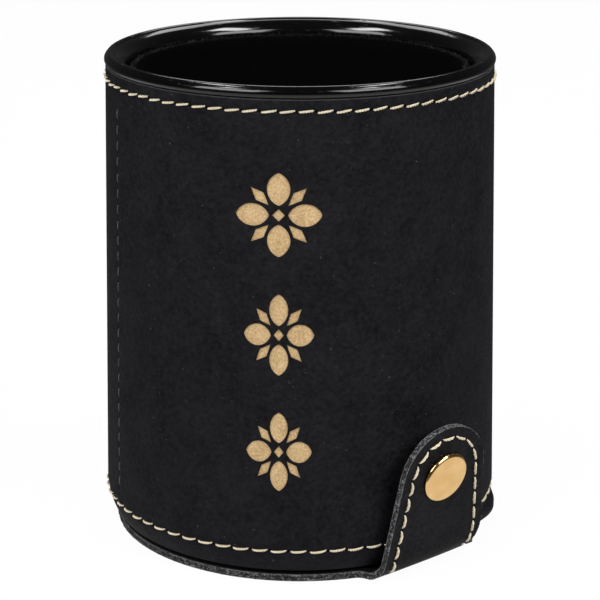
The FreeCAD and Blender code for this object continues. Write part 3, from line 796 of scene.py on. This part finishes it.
def wrap_relief(azimuth, height):
    """How far the outside is pulled in by the stitching and the seam, in mm, negative inward."""
    azimuth = np.asarray(azimuth, float)
    height = np.asarray(height, float)
    total = np.zeros(np.broadcast(azimuth, height).shape)
    for row, azimuths in ((TOP_ROW, TOP_AZIMUTHS), (BOTTOM_ROW, BOTTOM_AZIMUTHS)):
        near = np.exp(-(((height - row) / GROOVE_HALF_WIDTH) ** 2))
        pull = 0.5 - 0.5 * np.cos(np.radians((azimuth - azimuths[0]) * len(azimuths)))
        total -= near * (GROOVE_DEPTH + DIMPLE_DEPTH * pull**4)
    beside = (azimuth - SEAM_AZIMUTH + 180) % 360 - 180
    total -= SEAM_GROOVE * np.exp(-((beside / 0.35) ** 2))
    total += 0.03 * (1 + np.tanh(beside / 0.3)) * np.exp(-((beside / 3.0) ** 2))
    flare = np.clip((FLARE_START - height) / (FLARE_START - WRAP_BOTTOM), 0, 1)
    pinch = np.exp(-(((height - FLARE_START - 0.8) / 1.1) ** 2))
    return total + flare_share(azimuth) * (FLARE_REACH * flare * (2 - flare) - FLARE_PINCH * pinch)


def flare_share(azimuth):
    """How much of the hem's flare beside the tongue an azimuth has, from 0 to 1."""
    beside = (np.asarray(azimuth, float) - FLARE_AZIMUTH + 180) % 360 - 180
    return np.exp(-((beside / FLARE_HALF_WIDTH) ** 2))


def hem_drop(azimuth, height):
    """How far the flared hem hangs below its plain height, in mm."""
    low = np.clip((FLARE_START - np.asarray(height, float)) / (FLARE_START - WRAP_BOTTOM), 0, 1)
    return FLARE_DROP * flare_share(azimuth) * low


def ornament_loops(height, width):
    """Closed loops of one ornament as (azimuth, height) arrays: four pointed petals about a
    lozenge, with a smaller lozenge between each pair of petals."""
    reach = ORNAMENT_SIZE / 2
    petal = arc((0, 0.22 * reach), (0.27 * reach, 0.58 * reach), (0, reach), 18)
    petal += arc((0, reach), (-0.27 * reach, 0.58 * reach), (0, 0.22 * reach), 18)
    spark = [(0, 0.32), (0.13, 0.62), (0, 0.92), (-0.13, 0.62)]
    heart = [(0, -0.15), (0.15, 0), (0, 0.15), (-0.15, 0)]
    shapes = []
    for quarter in range(4):
        shapes.append((petal, 90 * quarter))
        shapes.append((divided([(x * reach, y * reach) for x, y in spark], 6), 90 * quarter + 45))
    shapes.append((divided([(x * reach, y * reach) for x, y in heart], 4), 0))
    loops = []
    for shape, degrees in shapes:
        turn = math.radians(degrees)
        shape = np.array(shape)
        across = shape[:, 0] * math.cos(turn) - shape[:, 1] * math.sin(turn)
        rise = shape[:, 0] * math.sin(turn) + shape[:, 1] * math.cos(turn)
        across *= width / ORNAMENT_SIZE
        azimuth = np.degrees(np.arcsin(across / wrap_radius(height))) + ORNAMENT_AZIMUTH
        loops.append(np.stack([azimuth, height + rise], axis=1))
    return loops


def divided(corners, count):
    """A closed polygon with each side cut into equal steps."""
    points = []
    for start, end in zip(corners, corners[1:] + corners[:1]):
        points += line(start, end, count)
    return points


def stud_hole_loop():
    """The hole for the stud's post, as an (azimuth, height) loop."""
    turns = np.linspace(0, 2 * math.pi, 16, endpoint=False)
    radius = POST_HOLE_RADIUS
    azimuth = FLAP_AZIMUTH + np.degrees(radius / wrap_radius(STUD_HEIGHT)) * np.cos(turns)
    return np.stack([azimuth, STUD_HEIGHT + radius * np.sin(turns)], axis=1)


def on_skin(azimuth, height, lift):
    """Points of the outer skin, lift above its relief at the same height. The relief of the
    stitching ends at RELIEF_DEPTH under the surface, and the flare of the hem doesn't."""
    height = np.asarray(height, float)
    level = np.clip(height, SKIN_LOW, SKIN_HIGH)
    relief = wrap_relief(azimuth, level)
    flared = np.clip(relief, 0.0, None)
    fade = 1.0 if lift > -RELIEF_DEPTH else 0.0
    points = on_wrap(azimuth, height, lift + flared + fade * (relief - flared))
    points[..., 2] -= hem_drop(azimuth, height)
    return points


def make_wrap_skin():
    """The outer skin, with the ornaments cut through it and both edges turned over."""
    degrees_per_mm = math.degrees(1 / WRAP_BASE_RADIUS)
    start = ORNAMENT_AZIMUTH + 180.0
    columns = start + 360.0 * np.arange(421) / 420
    extra = SEAM_AZIMUTH + 360 + np.array([-0.45, -0.3, -0.15, 0, 0.15, 0.3, 0.45])
    columns = np.unique(np.round(np.concatenate([columns, extra]), 6))
    near_rows = [np.arange(row - 1.4, row + 1.41, 0.28) for row in (BOTTOM_ROW, TOP_ROW)]
    heights = np.concatenate(
        [
            np.linspace(SKIN_LOW, BOTTOM_ROW - 1.7, 6),
            near_rows[0],
            np.linspace(BOTTOM_ROW + 2.2, TOP_ROW - 2.2, 66),
            near_rows[1],
            np.linspace(TOP_ROW + 1.7, SKIN_HIGH, 3),
        ]
    )
    fill = np.array([(a, z) for z in heights for a in columns])
    loops = [stud_hole_loop() + [360, 0]]
    for height, width in zip(ORNAMENT_HEIGHTS, ORNAMENT_WIDTHS):
        loops += [loop + [360, 0] for loop in ornament_loops(height, width)]
    scale = np.array([1 / degrees_per_mm, 1.0])
    fill = fill * scale
    loops = [loop * scale for loop in loops]
    edges = np.concatenate(loops)
    for i in range(0, len(fill), 4000):
        part = fill[i : i + 4000]
        gap = np.sqrt(((part[:, None, :] - edges[None, :, :]) ** 2).sum(axis=2)).min(axis=1)
        part[gap < 0.25] = np.nan
    fill = fill[~np.isnan(fill[:, 0])]
    flat, triangles = triangulated(fill, loops)
    middles = flat[np.array(triangles)].mean(axis=1)
    cut = np.zeros(len(middles), bool)
    for loop in loops:
        cut |= inside_loop(middles, loop)
    triangles = [triangle for triangle, gone in zip(triangles, cut) if not gone]
    azimuth, height = flat[:, 0] / scale[0], flat[:, 1]
    levels = [on_skin(azimuth, height, 0.0), on_skin(azimuth, height, -SKIN_DEPTH)]
    count = len(flat)
    faces = list(triangles)
    faces += [(c + count, b + count, a + count) for a, b, c in triangles]
    kinds = [0] * len(faces)
    offset = 2 * count
    for loop in loops:
        azimuth, height = loop[:, 0] / scale[0], loop[:, 1]
        size = len(loop)
        levels.append(on_skin(azimuth, height, 0.0))
        levels.append(on_skin(azimuth, height, -SKIN_DEPTH))
        for i in range(size):
            j = (i + 1) % size
            faces.append((offset + i, offset + j, offset + j + size, offset + i + size))
            kinds.append(0)
        offset += 2 * size
    for end, sign in ((SKIN_HIGH, 1), (SKIN_LOW, -1)):
        turned_over = [(0.0, 0.0)]
        turned_over += [
            (TURNED_EDGE_RADIUS * (math.cos(a) - 1), TURNED_EDGE_RADIUS * math.sin(a))
            for a in np.linspace(0, math.pi / 2, 6)[1:]
        ]
        turned_over += [(-1.3, TURNED_EDGE_RADIUS), (-1.52, 0.2), (-1.52, 0.0), (-SKIN_DEPTH, 0.0)]
        size = len(columns)
        for inward, rise in turned_over:
            height = np.full(size, end + sign * rise)
            levels.append(on_skin(columns, height, inward))
        for row in range(len(turned_over) - 1):
            for i in range(size - 1):
                a = offset + row * size + i
                faces.append((a, a + 1, a + 1 + size, a + size))
                # Past the start of the turn, the skin takes the lighter grey edge material as painted
                # highlight.
                kinds.append(1 if row >= 2 else 0)
        offset += size * len(turned_over)
    materials = [black_leather, wrap_edge_highlight]
    return new_piece("wrap_skin_sheet", np.concatenate(levels), faces, materials, kinds)


def wrap_profile(outer, inner, bottom, top):
    """Closed (radius, height) profile of a ply between two depths."""
    heights = [bottom + (HEM_START - bottom) * i / 8 for i in range(8)] + [HEM_START, 58.0, top]
    outside = [(float(wrap_radius(z)) - outer, z) for z in heights]
    inside = [(float(wrap_radius(z)) - inner, z) for z in reversed(heights)]
    return outside + inside


def ring_row_place(azimuth, height):
    """Place function of one stitch of a ring row."""

    def place(along, across, lift):
        turn = azimuth + np.degrees(along / wrap_radius(height))
        level = height + across
        buried = FLARE_BURIES_THREAD * flare_share(turn) if height < WRAP_TOP / 2 else 0.0
        return on_wrap(turn, level, lift + wrap_relief(turn, level) - buried)

    return place


def ring_row(name, azimuths, height, radius, slant, bow, seed):
    """A row of twisted stitches round the wrap, and the needle holes between them."""
    rng = np.random.RandomState(seed)
    pitch = 2 * math.pi * float(wrap_radius(height)) / len(azimuths)
    stitches, holes = [], []
    for azimuth in azimuths:
        drift = rng.normal(0, 0.05)
        length = pitch - STITCH_GAP + rng.normal(0, 0.05)
        place = ring_row_place(azimuth + rng.normal(0, 0.08), height + drift)
        stitches += thread_parts(place, length, radius, rng, slant, bow, **RING_THREAD)
        hole = ring_row_place(azimuth + 180.0 / len(azimuths), height + drift)
        holes.append(hole_part(hole, 0.85, 0.62))
    rows = joined(name, stitches, [cream])
    needle_holes = joined(name.replace("stitches", "needle_holes"), holes, [hole_painted_shade])
    return rows, needle_holes


def seam_row():
    """The upright row of small dark stitches where the wrap's ends meet."""
    rng = np.random.RandomState(31)
    parts = []
    for height in np.arange(SEAM_START, SEAM_END, SEAM_PITCH):

        def place(along, across, lift, height=height):
            turn = SEAM_AZIMUTH + np.degrees(across / WRAP_BASE_RADIUS)
            level = height + along
            return on_wrap(turn, level, lift - SEAM_GROOVE)

        parts += thread_parts(place, 2.4, 0.16, rng, 0.05, 0.0, **SEAM_THREAD)
    return joined("seam_row_stitches", parts, [black_cotton])


# ---------------------------------------------------------------- flap pattern


TIP_LENGTH = float(tongue_length(TIP_CENTRE_HEIGHT))


def half_outline(inset, fillet, step):
    """One side of the flap's pattern from the tip's middle to the straight cut at the back, as
    (across, length) points, moved inward by inset. Fillet is the radius at the tongue's root."""
    tip = TIP_RADIUS - inset
    radius = FLAP_RADIUS - inset
    root = fillet + inset
    normal = np.array([math.cos(SIDE_ANGLE), math.sin(SIDE_ANGLE)])
    upward = np.array([-normal[1], normal[0]])
    offset = TIP_LENGTH * math.sin(SIDE_ANGLE) + tip
    centre = (offset + root) * normal
    centre = centre + math.sqrt((radius + root) ** 2 - (offset + root) ** 2) * upward
    on_disc = centre * radius / (radius + root)
    on_side = centre - root * normal
    points = []
    turns = np.linspace(math.pi / 2, SIDE_ANGLE, max(3, int(tip * TIP_TURN / step)))
    points += [(tip * math.cos(a), TIP_LENGTH + tip * math.sin(a)) for a in turns]
    side_start = np.array(points[-1])
    count = max(2, int(np.linalg.norm(on_side - side_start) / step))
    points += [tuple(side_start + (on_side - side_start) * i / count) for i in range(1, count)]
    first = math.atan2(-normal[1], -normal[0]) % (2 * math.pi)
    last = math.atan2(-centre[1], -centre[0]) % (2 * math.pi)
    count = max(4, int(root * abs(last - first) / step))
    turns = [first + (last - first) * i / count for i in range(count)]
    points += [(centre[0] + root * math.cos(a), centre[1] + root * math.sin(a)) for a in turns]
    first = math.atan2(on_disc[0], on_disc[1])
    last = math.pi - math.acos((REAR_CUT - inset) / radius)
    count = int(radius * (last - first) / step)
    turns = [first + (last - first) * i / count for i in range(count + 1)]
    points += [(radius * math.sin(a), radius * math.cos(a)) for a in turns]
    return points


def flap_outline(inset=0.0, step=0.6):
    """The flap's closed pattern, anticlockwise."""
    right = half_outline(inset, RIGHT_FILLET, step)
    left = [(-x, y) for x, y in half_outline(inset, LEFT_FILLET, step)]
    cut = line(left[-1], right[-1], 20)[1:]
    return left + cut + right[:0:-1]


def stitch_line(fillet, side):
    """The stitch row's line on one side, as an array of points and their travel from the tip."""
    points = np.array(half_outline(ROW_INSET, fillet, 0.1)) * [side, 1.0]
    travel = np.concatenate([[0], np.cumsum(np.linalg.norm(np.diff(points, axis=0), axis=1))])
    return points, travel


ROW_LINES = {1: stitch_line(RIGHT_FILLET, 1), -1: stitch_line(LEFT_FILLET, -1)}
ROW_SAMPLES = np.concatenate([ROW_LINES[1][0][::3], ROW_LINES[-1][0][::3]])


def sunk_by_row(length):
    """Depth of the stitch row's groove: deep under the disc, so that the cup stands on leather,
    and slight on the tongue."""
    rise = np.clip((np.asarray(length, float) - 45.0) / 3.0, 0, 1)
    return ROW_DEEP - (ROW_DEEP - ROW_SHALLOW) * rise * rise * (3 - 2 * rise)


def flap_relief(flat):
    """Depth of the groove at each point of the pattern."""
    result = np.zeros(len(flat))
    for i in range(0, len(flat), 2000):
        part = flat[i : i + 2000]
        gap = ((part[:, None, :] - ROW_SAMPLES[None, :, :]) ** 2).sum(axis=2).min(axis=1)
        result[i : i + 2000] = np.exp(-gap / 0.45**2) * sunk_by_row(part[:, 1])
    return result


def flap_fill(near_row):
    """Points inside the pattern: a grid, and finer lines beside the stitch row."""
    outline = np.array(flap_outline())
    centre = np.array([0.0, float(tongue_length(SNAP_HEIGHT))])
    grid = [
        (x, y)
        for y in np.arange(-40.5, TIP_LENGTH + TIP_RADIUS, 0.9)
        for x in np.arange(-43.5, 43.6, 0.9)
    ]
    grid = np.array(grid)
    gap = np.sqrt(((grid[:, None, :] - ROW_SAMPLES[None, ::3, :]) ** 2).sum(axis=2)).min(axis=1)
    points = [grid[gap > (1.1 if near_row else 0.0)]]
    if near_row:
        for inset in (-0.8, -0.5, -0.25, 0.0, 0.25, 0.5, 0.8):
            row = flap_outline(ROW_INSET + inset, 0.5)
            points.append(np.array(row))
    fill = np.concatenate(points)
    gap = np.sqrt(((fill[:, None, :] - outline[None, :, :]) ** 2).sum(axis=2)).min(axis=1)
    fill = fill[inside_loop(fill, outline) & (gap > 0.35)]
    return fill[np.linalg.norm(fill - centre, axis=1) > 2.0]


def shank_hole():
    """The hole through the flap for the cap's shank."""
    turns = np.linspace(0, 2 * math.pi, 24, endpoint=False)
    centre = float(tongue_length(SNAP_HEIGHT))
    radius = SHANK_HOLE_RADIUS
    return [(radius * math.cos(a), centre + radius * math.sin(a)) for a in turns]


def flap_row_place(side, travel):
    """Place function of one stitch of the flap's row."""
    points, distances = ROW_LINES[side]

    def at(distance):
        across = np.interp(np.abs(distance), distances, points[:, 0])
        across = np.where(distance < 0, -across, across)
        return across, np.interp(np.abs(distance), distances, points[:, 1])

    def place(along, across, lift):
        along = np.asarray(along, float) + travel
        x, y = at(along)
        ahead, behind = at(along + 0.1), at(along - 0.1)
        dx, dy = ahead[0] - behind[0], ahead[1] - behind[1]
        size = np.hypot(dx, dy)
        x = x - across * dy / size
        y = y + across * dx / size
        return flap_place(x, y, sunk_by_row(y) - lift)

    return place


def flap_row():
    """Stitches down both sides of the tongue and round the underside of the disc."""
    rng = np.random.RandomState(23)
    stitches, holes = [], []
    for side in (1, -1):
        total = ROW_LINES[side][1][-1]
        number = 0 if side == 1 else 1
        while number * ROW_PITCH < total - 3.0:
            travel = number * ROW_PITCH
            place = flap_row_place(side, travel)
            bow = -0.30 * side
            stitches += thread_parts(place, ROW_PITCH - 0.35, 0.33, rng, 0.0, bow, **FLAP_THREAD)
            holes.append(hole_part(flap_row_place(side, travel + ROW_PITCH / 2), 0.7, 0.5))
            number += 1
    return joined("flap_stitch_row", stitches, [cream]), joined("flap_needle_holes", holes, [hole_painted_shade])


def swept_strap():
    """The hinge strap: one strip glued inside the hem, bent, and glued on the flap."""
    heights = np.linspace(STRAP_TOP, 3.6, 12)
    outer = [(float(wrap_radius(z)) - WRAP_THICKNESS - 0.02, z) for z in heights]
    inner = [(r - STRAP_THICKNESS, z) for r, z in outer]
    foot = outer[-1][0] - STRAP_THICKNESS / 2
    centre = (foot - STRAP_BEND_RADIUS, 3.62)
    turns = np.linspace(0, math.pi / 2, 9)[1:]
    wide, narrow = STRAP_BEND_RADIUS + STRAP_THICKNESS / 2, STRAP_BEND_RADIUS - STRAP_THICKNESS / 2
    outer += [(centre[0] + wide * math.cos(a), centre[1] - wide * math.sin(a)) for a in turns]
    inner += [(centre[0] + narrow * math.cos(a), centre[1] - narrow * math.sin(a)) for a in turns]
    low = FLAP_THICKNESS + 0.02
    reach = np.linspace(centre[0] - 1.0, STRAP_LEG_INSIDE, 14)
    outer += [(r, low) for r in reach]
    inner += [(r, low + STRAP_THICKNESS) for r in reach]
    ring = outer + inner[::-1]
    azimuths = FLAP_AZIMUTH + 180 + np.linspace(-STRAP_SWEEP / 2, STRAP_SWEEP / 2, 33)
    points = []
    for azimuth in azimuths:
        out = direction(azimuth)
        points += [out * r + UP * z for r, z in ring]
    count = len(ring)
    faces = []
    for i in range(len(azimuths) - 1):
        for k in range(count):
            m = (k + 1) % count
            a, b = i * count, (i + 1) * count
            faces.append((a + k, b + k, b + m, a + m))
    half = len(outer)
    for base in (0, (len(azimuths) - 1) * count):
        for k in range(half - 1):
            faces.append((base + k, base + k + 1, base + count - 2 - k, base + count - 1 - k))
    return new_piece("hinge_strap", points, faces, [strap_leather])


# ---------------------------------------------------------------- moulded parts and felt


def inside_wrap(height):
    """Radius at which a moulded part carries the wrap."""
    return float(wrap_radius(height)) - WRAP_THICKNESS - 0.05


def make_liner():
    """The tumbler with its rolled lip."""
    collar = inside_wrap(WRAP_TOP)
    seat = inside_wrap(FLOOR_TOP)
    lip_inside = (LINER_INSIDE + 0.15, LIP_UNDERSIDE - 0.1)
    groove_start = (41.75, LIP_CREST - 0.38)
    crest_start = (42.15, LIP_CREST - 0.34)
    crest_end = (43.8, LIP_CREST - 0.55)
    lip_end = (43.9, LIP_UNDERSIDE)
    profile = line((0, FLOOR_TOP), (LINER_INSIDE, FLOOR_TOP), 4)
    profile += line((LINER_INSIDE, FLOOR_TOP), (LINER_INSIDE, LIP_UNDERSIDE - 1.0), 20)
    profile += [(LINER_INSIDE, LIP_UNDERSIDE - 1.0)]
    profile += arc(lip_inside, (40.5, LIP_CREST - 1.05), groove_start, 12)
    profile += arc(groove_start, (41.95, LIP_CREST - 0.52), crest_start, 4)
    profile += arc(crest_start, (42.95, LIP_CREST), crest_end, 12)
    profile += arc(crest_end, (44.25, LIP_UNDERSIDE + 0.8), lip_end, 12)
    profile += [
        lip_end,
        (collar, LIP_UNDERSIDE),
        (collar, COLLAR_BOTTOM),
        (LINER_OUTSIDE, COLLAR_BOTTOM),
        (LINER_OUTSIDE, FLOOR_TOP),
        (seat, FLOOR_TOP),
        (seat, FLOOR_BOTTOM),
        (SPIGOT_RADIUS, FLOOR_BOTTOM),
        (SPIGOT_RADIUS, SPIGOT_BOTTOM),
        (SPIGOT_INSIDE, SPIGOT_BOTTOM),
        (SPIGOT_INSIDE, FLOOR_BOTTOM),
        (0, FLOOR_BOTTOM),
    ]
    return turned_piece("liner_moulding", profile, liner_plastic)


def nap(turns, height):
    """Uneven thickness of pressed felt."""
    waves = np.sin(7 * turns + 0.9) * 0.05 + np.sin(23 * turns + height * 0.4) * 0.03
    return waves + np.sin(61 * turns + height * 1.7) * 0.03


def make_felt_sleeve():
    outside = LINER_INSIDE - 0.08
    inside = outside - FELT_THICKNESS
    bottom = FELT_FLOOR_TOP + 0.02
    profile = line((inside, bottom), (inside, FELT_TOP - 0.5), 40)
    profile += arc(
        (inside, FELT_TOP - 0.5),
        ((inside + outside) / 2, FELT_TOP),
        (outside - 0.1, FELT_TOP - 0.5),
        8,
    )
    profile += [(outside - 0.1, FELT_TOP - 0.5), (outside - 0.1, bottom)]

    def relief(turns, height):
        return np.where(height > bottom + 1, nap(turns, height), 0.0)

    return turned_piece("felt_sleeve_cloth", profile, felt_black_painted_shade, relief=relief)


def make_felt_floor():
    outside = LINER_INSIDE - 0.06
    bottom = FLOOR_TOP + 0.02
    profile = line((0, bottom), (outside, bottom), 3)
    profile += line((outside, bottom), (outside, FELT_FLOOR_TOP), 2)
    profile += line((outside, FELT_FLOOR_TOP), (0, FELT_FLOOR_TOP), 24)
    profile += [(0, FELT_FLOOR_TOP)]
    return turned_piece("felt_floor_cloth", profile, felt_black_painted_shade)


def felt_fibres():
    """Loose fibres standing from the felt's cut upper edge, coloured lighter grey than the felt as a
    painted highlight.
    """
    rng = np.random.RandomState(41)
    parts = []
    for _ in range(900):
        azimuth = rng.uniform(0, 360)
        out, along = direction(azimuth), direction(azimuth + 90)
        radius = LINER_INSIDE - 0.2 - rng.uniform(0, FELT_THICKNESS)
        lean = rng.normal(0, 0.35, 2)
        length = rng.uniform(0.3, 0.9)
        curl = rng.normal(0, 0.25, 2)
        steps = np.linspace(0, 1, 4)[:, None]
        base = out * radius + UP * (FELT_TOP - 0.35)
        growth = UP + out * (lean[0] - 0.25) + along * lean[1]
        bend = out * curl[0] + along * curl[1]
        centres = base + steps * length * growth + steps**2 * length * bend
        parts.append(tube(centres, out, along, 0.028, 3))
    return joined("felt_edge_fibres", parts, [felt_nap_painted_highlight])


# ---------------------------------------------------------------- snap


def snap_axes():
    """Centre of the cap on the tongue's outside, two directions in its plane, and its axis."""
    centre = flap_place(0.0, float(tongue_length(SNAP_HEIGHT)), -0.02).reshape(3)
    axis = OUT * math.cos(LEAN + CAP_TILT) - UP * math.sin(LEAN + CAP_TILT)
    return centre, ALONG, np.cross(axis, ALONG), axis


def make_cap():
    """The domed cap with a soft bevel, on its shank."""
    foot = -(FLAP_THICKNESS + 0.44)
    profile = [(0, foot - 0.25), (2.0, foot - 0.25), (2.0, foot), (SHANK_RADIUS, foot)]
    profile += [(SHANK_RADIUS, 0.0), (5.6, 0.0)]
    profile += arc((5.6, 0.0), (CAP_RADIUS, 0.40), (5.90, 0.78), 8)
    profile += arc((5.90, 0.78), (5.72, 0.98), (CAP_RIM, CAP_EDGE), 6)
    shares = [1 - i / 14 for i in range(15)]
    profile += [(CAP_RIM * share, CAP_EDGE + CAP_CROWN * (1 - share**2)) for share in shares]
    return turned_piece("snap_cap_gold", profile, gold, 96, snap_axes())


# ---------------------------------------------------------------- assembly


def fit(piece, slot, *nodes, body=None, across=None, start=None, end=None):
    """Fixes a piece to its body. A piece across the joint between two bodies only has its transform
    baked.
    """
    if across is None:
        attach(piece, body)
    else:
        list(across)
        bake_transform(piece)
        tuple(start)
        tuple(end)
    if nodes:
        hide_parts(*nodes)
    return piece


def flap_metres(out, height):
    """A point given in the flap's own directions, in metres."""
    return tuple((OUT * out + UP * height) * MM)


skin = fit(make_wrap_skin(), "black_leatherette", "wrap_skin", body="cup")
core_profile = wrap_profile(SKIN_DEPTH + 0.01, CORE_DEPTH, WRAP_BOTTOM + 0.4, WRAP_TOP - 0.35)
core = turned_piece("wrap_core_board", core_profile, gilt)
fit(core, "gold_core", "wrap_core", body="cup")
backing_profile = wrap_profile(CORE_DEPTH + 0.02, WRAP_THICKNESS, WRAP_BOTTOM + 0.4, WRAP_TOP - 0.35)
backing = turned_piece("wrap_backing_cloth", backing_profile, backing_cloth)
fit(backing, "wrap_backing", "wrap_backing", body="cup")

top_row, top_holes = ring_row("top_row_stitches", TOP_AZIMUTHS, TOP_ROW, 0.32, 0.26, 0.0, 11)
fit(top_row, "cream_thread", "top_stitches", body="cup")
fit(top_holes, "black_leatherette", body="cup")
bottom_row, bottom_holes = ring_row(
    "bottom_row_stitches", BOTTOM_AZIMUTHS, BOTTOM_ROW, 0.33, 0.18, -0.16, 12
)
fit(bottom_row, "cream_thread", "bottom_stitches", body="cup")
fit(bottom_holes, "black_leatherette", body="cup")
fit(seam_row(), "black_thread", "seam_stitches", body="cup")

fit(make_liner(), "liner_plastic", "cup_liner", body="cup")
sleeve = fit(make_felt_sleeve(), "felt", "felt_sleeve", body="cup")
floor_felt = fit(make_felt_floor(), "felt", "felt_floor", body="cup")
fit(felt_fibres(), "felt", body="cup")

fold = {
    "across": ("base_flap", "tongue"),
    "start": flap_metres(FOLD_START, 0.0),
    "end": flap_metres(FOLD_START + 5.0, 4.4),
}
hole = shank_hole()
outer_ply = plate_piece(
    "flap_outer_leather",
    [flap_outline(), hole],
    flap_fill(True),
    0.0,
    FLAP_PLY,
    flap_place,
    [flap_leather, flap_edge],
    relief=flap_relief,
)
inner_ply = plate_piece(
    "flap_inner_leather",
    [flap_outline(0.12), hole],
    flap_fill(False),
    FLAP_PLY + 0.02,
    FLAP_THICKNESS,
    flap_place,
    [flap_leather, flap_edge],
)
fit(outer_ply, "flap_leatherette", "flap_outer_disc", "flap_outer_tongue", **fold)
fit(inner_ply, "flap_leatherette", "flap_inner_disc", "flap_inner_tongue", **fold)
flap_stitches, flap_holes = flap_row()
fit(flap_stitches, "cream_thread", "flap_disc_stitches", "tongue_stitches", **fold)
fit(flap_holes, "flap_leatherette", **fold)

strap = swept_strap()
fit(
    strap,
    "strap_leatherette",
    "strap_tail",
    "strap_leg",
    across=("cup", "base_flap"),
    start=flap_metres(-42.6, 4.6),
    end=flap_metres(-39.8, 1.9),
)
fit(make_cap(), "gold_metal", "snap_cap", body="tongue")

for node, material in (
    ("base_ring", ring_plastic),
    ("snap_stud", brass),
    ("snap_post", brass),
    ("snap_socket", brass),
):
    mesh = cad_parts[node].data
    mesh.materials.clear()
    mesh.materials.append(material)


# ---------------------------------------------------------------- cloth that was cut flat


def pattern_area(loop):
    """Area inside a closed loop, in square mm."""
    x, y = np.array(loop).T
    return abs(float(np.dot(x, np.roll(y, -1)) - np.dot(y, np.roll(x, -1)))) / 2


flap_area = pattern_area(flap_outline()) * MM**2
wrap_flat = (2 * math.pi * float(wrap_radius(55)) * MM, (WRAP_TOP - WRAP_BOTTOM) * MM)


# ---------------------------------------------------------------- floor, lights and camera


def make_floor():
    """A pale floor, clear enough to show the base flap when it opens below it."""
    half = FLOOR_HALF_WIDTH
    corners = [(-half, -half, 0), (half, -half, 0), (half, half, 0), (-half, half, 0)]
    material = bpy.data.materials.new("studio_floor")
    material.use_nodes = True
    tree = material.node_tree
    clear = tree.nodes.new("ShaderNodeBsdfTransparent")
    mix = tree.nodes.new("ShaderNodeMixShader")
    mix.inputs["Fac"].default_value = FLOOR_SHARE
    tree.nodes["Principled BSDF"].inputs["Base Color"].default_value = (0.9, 0.9, 0.9, 1.0)
    tree.nodes["Principled BSDF"].inputs["Roughness"].default_value = 0.9
    tree.links.new(clear.outputs[0], mix.inputs[1])
    tree.links.new(tree.nodes["Principled BSDF"].outputs[0], mix.inputs[2])
    tree.links.new(mix.outputs[0], tree.nodes["Material Output"].inputs["Surface"])
    new_piece("studio_floor", corners, [(0, 1, 2, 3)], [material])


def make_world():
    """White behind the object. The object itself sees a bright floor and a dimmer room."""
    world = bpy.data.worlds.new("studio")
    bpy.context.scene.world = world
    world.use_nodes = True
    tree = world.node_tree
    output = tree.nodes["World Output"]
    room = tree.nodes["Background"]
    backdrop = tree.nodes.new("ShaderNodeBackground")
    backdrop.inputs["Color"].default_value = (1.0, 1.0, 1.0, 1.0)
    place = tree.nodes.new("ShaderNodeTexCoord")
    split = tree.nodes.new("ShaderNodeSeparateXYZ")
    tree.links.new(place.outputs["Generated"], split.inputs[0])
    ramp = tree.nodes.new("ShaderNodeMapRange")
    ramp.interpolation_type = "SMOOTHSTEP"
    ramp.inputs["From Min"].default_value = -0.55
    ramp.inputs["From Max"].default_value = -0.32
    ramp.inputs["To Min"].default_value = FLOOR_GLOW
    ramp.inputs["To Max"].default_value = ROOM_GLOW
    tree.links.new(split.outputs["Z"], ramp.inputs["Value"])
    tree.links.new(ramp.outputs["Result"], room.inputs["Strength"])
    room.inputs["Color"].default_value = (1.0, 1.0, 1.0, 1.0)
    path = tree.nodes.new("ShaderNodeLightPath")
    mix = tree.nodes.new("ShaderNodeMixShader")
    tree.links.new(path.outputs["Is Camera Ray"], mix.inputs["Fac"])
    tree.links.new(room.outputs[0], mix.inputs[1])
    tree.links.new(backdrop.outputs[0], mix.inputs[2])
    tree.links.new(mix.outputs[0], output.inputs["Surface"])


def softbox(name, place, target, size, power):
    """A rectangular light in metres, turned towards a target."""
    data = bpy.data.lights.new(name, "AREA")
    data.shape = "RECTANGLE"
    data.size, data.size_y = size
    data.energy = power
    light = bpy.data.objects.new(name, data)
    light.location = place
    light.rotation_euler = (Vector(target) - Vector(place)).to_track_quat("-Z", "Y").to_euler()
    bpy.context.scene.collection.objects.link(light)


make_floor()
make_world()
for side, name in ((-1, "overhead_left"), (1, "overhead_right")):
    place = np.array(OVERHEAD_PLACE) * (side, 1, 1)
    softbox(name, place, (0, 0, 0.08), OVERHEAD_SIZE, OVERHEAD_POWER)
softbox("rear_fill", REAR_PLACE, (0, 0, 0.06), REAR_SIZE, REAR_POWER)
for side, name in ((-1, "softbox_left"), (1, "softbox_right")):
    level = SOFTBOX_DISTANCE * math.cos(math.radians(SOFTBOX_ELEVATION))
    place = direction(side * SOFTBOX_AZIMUTH) * level
    place[2] = SOFTBOX_DISTANCE * math.sin(math.radians(SOFTBOX_ELEVATION))
    softbox(name, place, (0, 0, 0.06), SOFTBOX_SIZE, SOFTBOX_POWER)

camera_data = bpy.data.cameras.new("camera")
camera_data.lens = CAMERA_LENS
camera_data.sensor_width = 36.0
camera_data.clip_start = 0.01
camera = bpy.data.objects.new("camera", camera_data)
camera.location = (0.0, -CAMERA_DISTANCE * MM, CAMERA_HEIGHT * MM)
camera.rotation_euler = (math.radians(90 - CAMERA_TILT), 0.0, 0.0)
bpy.context.scene.collection.objects.link(camera)
bpy.context.scene.camera = camera
bpy.context.scene.view_settings.view_transform = "Standard"
